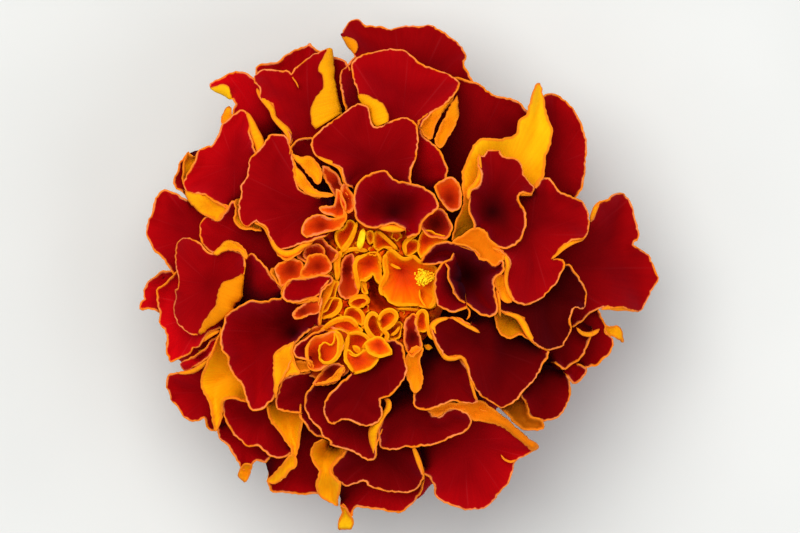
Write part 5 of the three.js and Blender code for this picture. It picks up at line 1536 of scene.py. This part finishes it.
def add_star(piece, index):
    """A newly opened floret, unless its place is taken."""
    turn, away = index * GOLDEN_ANGLE, STAR_STEP * math.sqrt(index + 0.5)
    top = AXIS + away * np.array([math.cos(turn), math.sin(turn)])
    if distance_to_line(top[None], HOLLOW)[0] < HOLLOW_RADIUS \
            or any(inside(top[None], rim)[0] for rim in TAKEN):
        return
    mouth = 0.52 + 0.12 * math.sin(3.1 * index)
    height = dome_height(top, -2.0) + 0.25 * math.sin(1.7 * index)
    s, angle = rings(8, 25)
    lobe = np.abs(np.cos(2.5 * (angle - index))) ** 0.6
    flare = np.clip((s - 0.5) / 0.5, 0, 1)
    radius = 0.34 + 0.08 * s + (mouth * (0.42 + 0.62 * lobe) - 0.4) * flare ** 1.4
    rise = np.where(s < 0.5, s * 1.8, 0.9 + 0.1 * np.sin(flare * 2.2) / 0.81)
    z = STAR_BOTTOM + (height - STAR_BOTTOM) * rise + 0.3 * flare ** 3 * (1 - lobe)
    star = grid_part(ring_places(AXIS + (top - AXIS) * 0.55, top, rise, angle, radius, z),
                     ring=True)
    mark(star, (1 - s) * mouth, s, angle, youth=1.0)
    thicken(star, STAR_THICKNESS)
    join(piece, star)


stars = bmesh.new()
for index in range(STAR_COUNT):
    add_star(stars, index)
measure("the stars", stars)
join(disc, stars)

# %% [markdown]
# ## The packed florets below
#
# Below them the disc is packed with florets that have not opened: a bumpy, domed cap with one
# dark hollow. It is a wide ring grid with noise on its height. Sculpting would give freer
# bumps, but can't be run again.

# %% The packed florets below
CAP_RADIUS = 7.6
CAP_RINGS, CAP_SIDES = 60, 190
CAP_LEVEL = -2.1
CAP_BOTTOM = 18.8
HOLLOW_DEPTH = 3.0
HOLLOW_WIDTH = 1.05
UNDER_SCOOP, SCOOP_WALL = 1.6, 0.16
RIM_FALL, FALL_FROM = 36, 0.75
BUMP_SIZE, BUMP_HEIGHT, BUMP_SEED = 0.55, 0.3, 41


def add_cap(piece):
    """The cap of packed florets, lower under the scoops and in the hollow."""
    v, angle = np.meshgrid(np.linspace(0.02, 1, CAP_RINGS),
                           np.arange(CAP_SIDES) * 2 * math.pi / CAP_SIDES, indexing="ij")
    plane = ring_places(AXIS, AXIS, v, angle, CAP_RADIUS * v, v)[..., :2]
    flat = plane.reshape(-1, 2)
    rough = BUMP_HEIGHT * soft_noise(flat, BUMP_SIZE, BUMP_SEED).reshape(v.shape)
    hollow = np.exp(-(distance_to_line(flat, HOLLOW).reshape(v.shape) / HOLLOW_WIDTH) ** 2)
    covered = np.zeros(len(flat), bool)
    for rim in TAKEN:
        covered |= inside(flat, rim) | (distance_to_line(flat, rim) < SCOOP_WALL)
    z = (dome_height(plane, CAP_LEVEL) + rough - HOLLOW_DEPTH * hollow
         - RIM_FALL * np.clip(v - FALL_FROM, 0, 1) ** 2
         - UNDER_SCOOP * covered.reshape(v.shape))
    under = ring_places(AXIS, AXIS, v[-1:], angle[-1:], 0.6 * CAP_RADIUS * v[-1:],
                        np.full((1, CAP_SIDES), CAP_BOTTOM))
    cap = grid_part(np.vstack([np.dstack([plane, z]), under]), ring=True)
    close_ends(cap, with_middle=True)
    # Reach for the colour: lighter on higher bumps and darkest in the hollow, painted light and
    # shade.
    shade_reach = np.full(len(cap.verts), 0.1)
    shade_reach[:v.size] = np.clip(0.38 + rough - 0.8 * hollow, 0.0, 0.8).ravel()
    mark(cap, FAR_FROM_EDGE, shade_reach, 0.0, youth=1.0)
    join(piece, cap)


add_cap(disc)
measure("the disc so far", disc)

# %% [markdown]
# ## The stigma
#
# The large scoop holds a stigma covered in pollen: little knobs on a low mound, each bmesh's
# smallest icosphere, drawn out upwards. They lie at random, but the generator has a fixed
# seed, so that each run heaps them the same way.

# %% The stigma
STIGMA_MIDDLE = (423.5, 277.5)
STIGMA_RADII = (9.5, 8.5)
STIGMA_LEVEL = -0.2
KNOBS = 110
chance = np.random.default_rng(7)

column, row = STIGMA_MIDDLE
wide, high = STIGMA_RADII
add_band(disc, STIGMA_LEVEL - 0.35, [(column - wide * 0.8, row, high * 1.1),
                                     (column, row, high * 1.7),
                                     (column + wide * 0.8, row, high * 1.1)], 0, STIGMA)
knobs = bmesh.new()
for _ in range(KNOBS):
    turn, ring = chance.uniform(0, 2 * math.pi), math.sqrt(chance.uniform(0, 1))
    away = MM_PER_PIXEL * ring * (1 + 0.15 * math.sin(3 * turn + 1))
    spot = place(STIGMA_MIDDLE) + away * np.array([wide * math.cos(turn), high * math.sin(turn)])
    z = dome_height(spot, STIGMA_LEVEL) - 0.5 * ring ** 2 + chance.uniform(-0.12, 0.12)
    bmesh.ops.create_icosphere(
        knobs, subdivisions=1, radius=chance.uniform(0.07, 0.15),
        matrix=Matrix.Translation((*spot, z)) @ Matrix.Diagonal((1, 1, 1.8, 1)))
mark(knobs, 0.0, 1.0, 0.0, youth=1.0)
give_material(knobs.faces, STIGMA)
join(disc, knobs)
measure("disc_star_florets", disc)

# %% [markdown]
# ## The green cup
#
# The cup holds the bloom together: narrow leaves grown into one, which show as eight ribs and
# end in small teeth. It is turned like the bases, from the cut end of the stalk up the
# outside, over the rim and down the inside. Then its points move out or in for the ribs, and
# the rim up or down for the teeth.

# %% The green cup
CUP_OUTSIDE = ((0, 0.0), (2.2, 0.0), (2.2, 0.5), (2.3, 2.4), (2.6, 2.9), (3.4, 3.4), (4.2, 4.6),
               (4.9, 6.0), (5.5, 8.0), (5.9, 10.0), (6.1, 12.0), (6.3, 14.0), (6.36, 14.9),
               (6.4, 15.6))
CUP_INSIDE = ((5.55, 15.6), (5.3, 13.0), (5.0, 12.2), (0, 12.2))
CUP_SIDES = 96
CUP_REACH = 16.0
RIBS = 8
RIB_HEIGHT = 0.24
TOOTH_HEIGHT = 0.6
TEETH_FROM = 15.5
INSIDE_WITHIN = 5.6


def rib_strength(radius, z):
    """How strong the ribs are: none on the stalk, full up the cup, faint inside its rim."""
    if radius < INSIDE_WITHIN and z > CUP_INSIDE[-1][1] - 0.1:
        return float(np.interp(z, (13.0, 15.6), (0.0, 0.2)))
    return float(np.interp(z, (3.4, 4.6, 6.0), (0.0, 0.6, 1.0)))


cup = turned_part(CUP_OUTSIDE + CUP_INSIDE, CUP_SIDES)
for vertex, angle in zip(cup.verts, angles_round_axis(cup)):
    spoke = np.array(vertex.co.xy) - AXIS
    radius, z = np.linalg.norm(spoke), vertex.co.z
    if radius > 0.01:
        rib = RIB_HEIGHT * rib_strength(radius, z) * math.cos(RIBS * angle)
        spoke = spoke * (1 + rib / radius)
        z += TOOTH_HEIGHT * math.cos(RIBS * angle) if z > TEETH_FROM else 0.0
    vertex.co = (*(AXIS + spoke), z)
mark(cup, FAR_FROM_EDGE, np.array([vertex.co.z for vertex in cup.verts]) / CUP_REACH,
     angles_round_axis(cup))
ribbed_cup = bmesh.new()
join(ribbed_cup, cup)
measure("ribbed_cup", ribbed_cup)

# %% [markdown]
# ## Materials out of nodes
#
# Petals need colours that follow their own shape, and no image is used. Nodes read the numbers
# on the vertices and turn them into colours. This small class keeps a material's nodes
# together and gives short names to the few kinds that are used. A socket takes a number, a
# colour or another node's result.

# %% Materials out of nodes
BLACK, WHITE = (0.0, 0.0, 0.0), (1.0, 1.0, 1.0)


class Paint:
    """A material, and short ways to add the nodes that it is mixed from."""

    def __init__(self, name):
        self.material = bpy.data.materials.new(name)
        self.material.use_nodes = True
        self.nodes, self.links = self.material.node_tree.nodes, self.material.node_tree.links
        self.nodes.clear()
        output = self.nodes.new("ShaderNodeOutputMaterial")
        self.shader = self.nodes.new("ShaderNodeBsdfPrincipled")
        self.links.new(self.shader.outputs[0], output.inputs[0])

    def feed(self, socket, value):
        if isinstance(value, bpy.types.NodeSocket):
            self.links.new(value, socket)
        else:
            socket.default_value = (*value, 1) if isinstance(value, tuple) else value

    def number(self, title):
        """One of the numbers on the vertices."""
        node = self.nodes.new("ShaderNodeAttribute")
        node.attribute_name = title
        return node.outputs["Fac"]

    def calculate(self, operation, a, b, clamp=False):
        node = self.nodes.new("ShaderNodeMath")
        node.operation, node.use_clamp = operation, clamp
        self.feed(node.inputs[0], a)
        self.feed(node.inputs[1], b)
        return node.outputs[0]

    def ramp(self, value, *stops):
        """Colours for a number, as stops of (number, colour)."""
        node = self.nodes.new("ShaderNodeValToRGB")
        elements = node.color_ramp.elements
        while len(elements) < len(stops):
            elements.new(0.5)
        for element, (position, colour) in zip(elements, stops):
            element.position, element.color = position, (*colour, 1)
        self.links.new(value, node.inputs[0])
        return node.outputs[0]

    def mix(self, factor, a, b, mode="MIX"):
        node = self.nodes.new("ShaderNodeMix")
        node.data_type, node.blend_type = "RGBA", mode
        for socket, value in zip((node.inputs[0], node.inputs[6], node.inputs[7]),
                                 (factor, a, b)):
            self.feed(socket, value)
        return node.outputs[2]

    def noise(self, vector, scale, detail):
        node = self.nodes.new("ShaderNodeTexNoise")
        node.inputs["Scale"].default_value = scale
        node.inputs["Detail"].default_value = detail
        self.links.new(vector, node.inputs["Vector"])
        return node.outputs["Fac"]

    def where(self):
        """The place on the piece, the same wherever the piece is seen from."""
        return self.nodes.new("ShaderNodeTexCoord").outputs["Object"]

    def grain(self, scale, detail=2.0):
        """Noise that is the same in all directions."""
        return self.noise(self.where(), scale, detail)

    def veins(self, across, along, detail=3.0):
        """Noise drawn out into streaks that run from the throat to the edge."""
        vector = self.nodes.new("ShaderNodeCombineXYZ")
        for socket, title, scale in ((vector.inputs[0], "around", across),
                                     (vector.inputs[1], "reach", along)):
            self.links.new(self.calculate("MULTIPLY", self.number(title), scale), socket)
        return self.noise(vector.outputs[0], 1.0, detail)

    def edge_line(self, grain_scale, unevenness, full, gone):
        """1 along the free edge and 0 away from it, broken up by noise."""
        uneven = self.calculate("MULTIPLY", self.grain(grain_scale), unevenness)
        return self.ramp(self.calculate("ADD", self.number("edge"), uneven),
                         (full, WHITE), (gone, BLACK))

    def finish(self, colour, roughness, gloss, relief=None, depth=0.0001):
        """Puts the colour on the shader, with a fine relief, and gives the material back."""
        self.links.new(colour, self.shader.inputs["Base Color"])
        self.shader.inputs["Roughness"].default_value = roughness
        self.shader.inputs["Specular IOR Level"].default_value = gloss
        if relief is not None:
            bump = self.nodes.new("ShaderNodeBump")
            bump.inputs["Strength"].default_value = 0.6
            bump.inputs["Distance"].default_value = depth
            self.links.new(relief, bump.inputs["Height"])
            self.links.new(bump.outputs[0], self.shader.inputs["Normal"])
        return self.material


print("ways to mix a paint:", [name for name in vars(Paint) if not name.startswith("_")])

# %% [markdown]
# ## The velvety face of a petal
#
# The face is dark red, darker in the throat as painted shade, with darker veins, a few faint
# pale pink streaks that are painted highlights, and clouds of a brighter red, all multiplied by
# the petal's tone of painted light and shade. Young petals are orange-red.
# The thin orange line follows the distance from the free edge, broken up by noise so that it
# isn't a drawn outline. The petal is velvety: rough, nearly without gloss, with a faint sheen.

# %% The velvety face of a petal
def petal_face():
    paint = Paint("petal_face")
    reach = paint.number("reach")
    # Nearly black in the throat and brighter outwards: painted shade in the throat.
    red = paint.ramp(reach, (0.0, (0.03, 0.0, 0.0005)), (0.35, (0.10, 0.0, 0.001)),
                     (0.65, (0.22, 0.0, 0.0015)), (1.0, (0.33, 0.0005, 0.002)))
    streak = paint.veins(22.0, 1.6)
    red = paint.mix(paint.ramp(streak, (0.35, BLACK), (0.65, WHITE)),
                    paint.mix(0.13, red, (0.05, 0.0, 0.002)), red)
    # Faint pale pink streaks: painted highlights.
    pale = paint.ramp(paint.veins(9.0, 0.7, 1.0),
                      (0.66, BLACK), (0.72, (0.10, 0.10, 0.10)), (0.78, BLACK))
    red = paint.mix(paint.calculate("MULTIPLY", pale, reach), red, (0.55, 0.06, 0.07))
    cloud = paint.calculate("MULTIPLY", paint.grain(420.0), reach)
    red = paint.mix(paint.calculate("MULTIPLY", cloud, 0.45), red, (0.42, 0.002, 0.003))
    # The tone multiplies the red: painted light and shade, one for each petal.
    tone = paint.nodes.new("ShaderNodeCombineColor")
    for socket in tone.inputs:
        paint.links.new(paint.number("tone"), socket)
    red = paint.mix(1.0, red, tone.outputs[0], "MULTIPLY")
    # Young petals too are darker in the throat, as painted shade.
    young = paint.ramp(reach, (0.0, (0.22, 0.006, 0.0)), (0.55, (0.56, 0.035, 0.001)),
                       (1.0, (0.76, 0.12, 0.002)))
    body = paint.mix(paint.number("youth"), red, young)
    line = paint.edge_line(1500.0, 0.30, 0.21, 0.30)
    orange = paint.ramp(paint.grain(520.0), (0.38, (0.86, 0.20, 0.006)),
                        (0.62, (0.87, 0.235, 0.07)))
    paint.shader.inputs["Sheen Weight"].default_value = 0.06
    paint.shader.inputs["Sheen Roughness"].default_value = 0.45
    paint.shader.inputs["Sheen Tint"].default_value = (1.0, 0.12, 0.3, 1)
    relief = paint.calculate("ADD", paint.calculate("MULTIPLY", streak, 0.35),
                             paint.calculate("MULTIPLY", paint.grain(7000.0, 1.0), 0.3))
    return paint.finish(paint.mix(line, body, orange), 0.75, 0.015, relief, 0.00012)


FACE_PAINT = petal_face()
print(FACE_PAINT.name, "has", len(FACE_PAINT.node_tree.nodes), "nodes")

# %% [markdown]
# ## The golden reverse
#
# The reverse is golden, more orange and darker towards the throat, partly its own colour and
# partly painted shade, with fine veins and an orange edge line. Its tone, painted light and
# shade, makes it yellow, orange, or brown, which is painted shade between other petals.

# %% The golden reverse
def petal_reverse():
    paint = Paint("petal_reverse")
    # More orange and darker towards the throat: partly its own colour, partly painted shade.
    gold = paint.ramp(paint.number("reach"), (0.0, (0.70, 0.19, 0.001)),
                      (0.4, (0.80, 0.27, 0.001)), (1.0, (0.86, 0.36, 0.001)))
    streak = paint.veins(26.0, 1.4)
    gold = paint.mix(paint.ramp(streak, (0.38, WHITE), (0.6, BLACK)), gold,
                     paint.mix(0.35, gold, (0.8, 0.19, 0.001)))
    yellow = paint.calculate("SUBTRACT", paint.number("tone"), 1.0, clamp=True)
    orange = paint.calculate("SUBTRACT", 1.0, paint.number("tone"), clamp=True)
    painted_shade_brown = paint.calculate("SUBTRACT", orange, 0.5, clamp=True)
    gold = paint.mix(yellow, gold, (0.90, 0.52, 0.004))
    gold = paint.mix(paint.calculate("MULTIPLY", orange, 2.0, clamp=True), gold,
                     (0.72, 0.16, 0.001))
    # Brown below a tone of a half: painted shade deep between other petals.
    gold = paint.mix(paint.calculate("MULTIPLY", painted_shade_brown, 2.0, clamp=True), gold,
                     (0.26, 0.07, 0.001))
    line = paint.edge_line(1500.0, 0.16, 0.16, 0.34)
    relief = paint.calculate("ADD", streak,
                             paint.calculate("MULTIPLY", paint.grain(6000.0, 1.0), 0.2))
    return paint.finish(paint.mix(line, gold, (0.85, 0.22, 0.008)), 0.7, 0.03, relief)


REVERSE_PAINT = petal_reverse()
print(REVERSE_PAINT.name, "has", len(REVERSE_PAINT.node_tree.nodes), "nodes")

# %% [markdown]
# ## Florets and stigma
#
# The florets go from a dark red-orange in their mouths, partly painted shade, to bright orange
# at their lobes, and a broad, nearly yellow edge line draws the curled lobes. The stigma is
# yellow, in two tones.

# %% Florets and stigma
def floret_orange():
    paint = Paint("floret_orange")
    # Darker red-orange deep in the mouths: partly their own colour, partly painted shade.
    body = paint.ramp(paint.number("reach"), (0.0, (0.34, 0.010, 0.0)),
                      (0.35, (0.64, 0.055, 0.0)), (0.7, (0.79, 0.15, 0.0)),
                      (1.0, (0.87, 0.28, 0.001)))
    body = paint.mix(paint.number("youth"), (0.42, 0.012, 0.0), body)
    streak = paint.veins(5.0, 1.2)
    body = paint.mix(paint.ramp(streak, (0.4, WHITE), (0.62, BLACK)), body,
                     paint.mix(0.4, body, (0.7, 0.04, 0.001)))
    line = paint.edge_line(420.0, 0.2, 0.10, 0.42)
    return paint.finish(paint.mix(line, body, (0.88, 0.36, 0.003)), 0.6, 0.03,
                        paint.calculate("ADD", streak, paint.grain(3000.0)))


def stigma_yellow():
    paint = Paint("stigma_yellow")
    yellow = paint.ramp(paint.grain(1200.0), (0.35, (1.0, 0.52, 0.006)),
                        (0.6, (1.0, 0.72, 0.012)))
    return paint.finish(yellow, 0.7, 0.05, paint.grain(5000.0))


FLORET_PAINT = floret_orange()
STIGMA_PAINT = stigma_yellow()
print(FLORET_PAINT.name, "and", STIGMA_PAINT.name, "are mixed")

# %% [markdown]
# ## The green of the cup
#
# The cup is a waxy green, sprinkled with the small brown oil glands that give a marigold its
# smell. A texture of cells makes the glands: a ramp keeps only the middle of each cell.

# %% The green of the cup
def cup_green():
    paint = Paint("cup_green")
    green = paint.ramp(paint.grain(500.0), (0.3, (0.06, 0.13, 0.02)), (0.7, (0.13, 0.24, 0.05)))
    cells = paint.nodes.new("ShaderNodeTexVoronoi")
    cells.inputs["Scale"].default_value = 900.0
    paint.links.new(paint.where(), cells.inputs["Vector"])
    gland = paint.ramp(cells.outputs["Distance"], (0.10, WHITE), (0.22, BLACK))
    return paint.finish(paint.mix(gland, green, (0.30, 0.20, 0.03)), 0.55, 0.5,
                        paint.grain(2500.0), 0.00015)


GREEN_PAINT = cup_green()
print(GREEN_PAINT.name, "has", len(GREEN_PAINT.node_tree.nodes), "nodes")

# %% [markdown]
# ## Handing the pieces over
#
# Each gathered bmesh becomes one object, made metres in its mesh, so the object stays at the
# origin, unturned and unscaled. It rides on the packed part's body and replaces a node.

# %% Handing the pieces over
def new_object(title, contents):
    thing = bpy.data.objects.new(title, contents)
    bpy.context.scene.collection.objects.link(thing)
    return thing


def hand_over(title, gathered, body, node, paints):
    """Makes a gathered bmesh one object that stands for a packed node."""
    bmesh.ops.scale(gathered, vec=(MILLIMETRE,) * 3, verts=gathered.verts)
    for face in gathered.faces:
        face.smooth = True
    mesh = to_mesh(gathered, title)
    for material in paints:
        mesh.materials.append(material)
    piece = new_object(title, mesh)
    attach(piece, body)
    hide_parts(node)
    width, depth, height = (size / MILLIMETRE for size in piece.dimensions)
    print(f"{title}: {width:.1f} x {depth:.1f} x {height:.1f} mm, {len(mesh.polygons)} faces")


pieces["young_petals"] = young_petals
for title, gathered in pieces.items():
    hand_over(title, gathered, "root", "ray_florets", [FACE_PAINT, REVERSE_PAINT])
hand_over("disc_star_florets", disc, "root", "disc_florets",
          [FLORET_PAINT, FLORET_PAINT, STIGMA_PAINT])
hand_over("ribbed_cup", ribbed_cup, "root", "involucre", [GREEN_PAINT])

# %% [markdown]
# ## The floor
#
# A plain pale floor, faintly clouded so that it doesn't look like paper. It is no part of the
# bloom.

# %% The floor
FLOOR_HALF = 0.6
grid = bmesh.new()
bmesh.ops.create_grid(grid, x_segments=1, y_segments=1, size=FLOOR_HALF)
mesh = to_mesh(grid, "floor")
pale = Paint("pale_floor")
mesh.materials.append(pale.finish(
    pale.ramp(pale.grain(30.0), (0.3, (0.62, 0.63, 0.62)), (0.7, (0.66, 0.67, 0.66))),
    0.9, 0.5))
floor = new_object("floor", mesh)
print("the floor is", 2 * FLOOR_HALF, "m wide")

# %% [markdown]
# ## Light
#
# The photograph was taken in soft daylight. A pale sky all round lights the shadows, one large
# round lamp from the upper left makes them soft, and a weaker one fills them from the right. A
# sun lamp would draw hard shadows that the photograph doesn't have.

# %% Light
SKY = (0.95, 0.97, 1.0, 1)
SKY_STRENGTH = 0.48


def add_lamp(name, position, size, power, colour):
    """A round area lamp that points at the bloom."""
    light = bpy.data.lights.new(name, "AREA")
    light.shape, light.size, light.energy, light.color = "DISK", size, power, colour
    lamp = new_object(name, light)
    lamp.location = position
    lamp.rotation_euler = (-Vector(position)).to_track_quat("-Z", "Y").to_euler()


world = bpy.data.worlds.new("soft_studio")
world.use_nodes = True
background = world.node_tree.nodes["Background"]
background.inputs[0].default_value = SKY
background.inputs[1].default_value = SKY_STRENGTH
bpy.context.scene.world = world
add_lamp("key_light", (-0.13, 0.18, 0.6), 0.55, 4.0, (1.0, 0.98, 0.94))
add_lamp("fill_light", (0.35, -0.2, 0.4), 0.5, 1.0, (0.94, 0.97, 1.0))
bpy.context.scene.view_settings.view_transform = "Standard"

# %% [markdown]
# ## Camera
#
# The camera looks straight down, as in the photograph, from 2 m away, so that near petals are
# hardly larger than far ones. Its lens is chosen so that a pixel of the picture is a pixel of
# the photograph at the height of the upper petals.

# %% Camera
PICTURE = (800, 533)
SENSOR_WIDTH = 36.0
CAMERA_HEIGHT = 2.0
TRUE_HEIGHT = 24.0

data = bpy.data.cameras.new("camera")
data.sensor_width = SENSOR_WIDTH
data.lens = (SENSOR_WIDTH * (CAMERA_HEIGHT * 1000 - TRUE_HEIGHT)
             / (PICTURE[0] * MM_PER_PIXEL))
data.clip_start, data.clip_end = 0.01, 20
camera = new_object("camera", data)
camera.location = (*(place((PICTURE[0] / 2, PICTURE[1] / 2)) * MILLIMETRE), CAMERA_HEIGHT)
bpy.context.scene.camera = camera
print(f"the lens is {data.lens:.0f} mm")

# %% [markdown]
# ## Finish
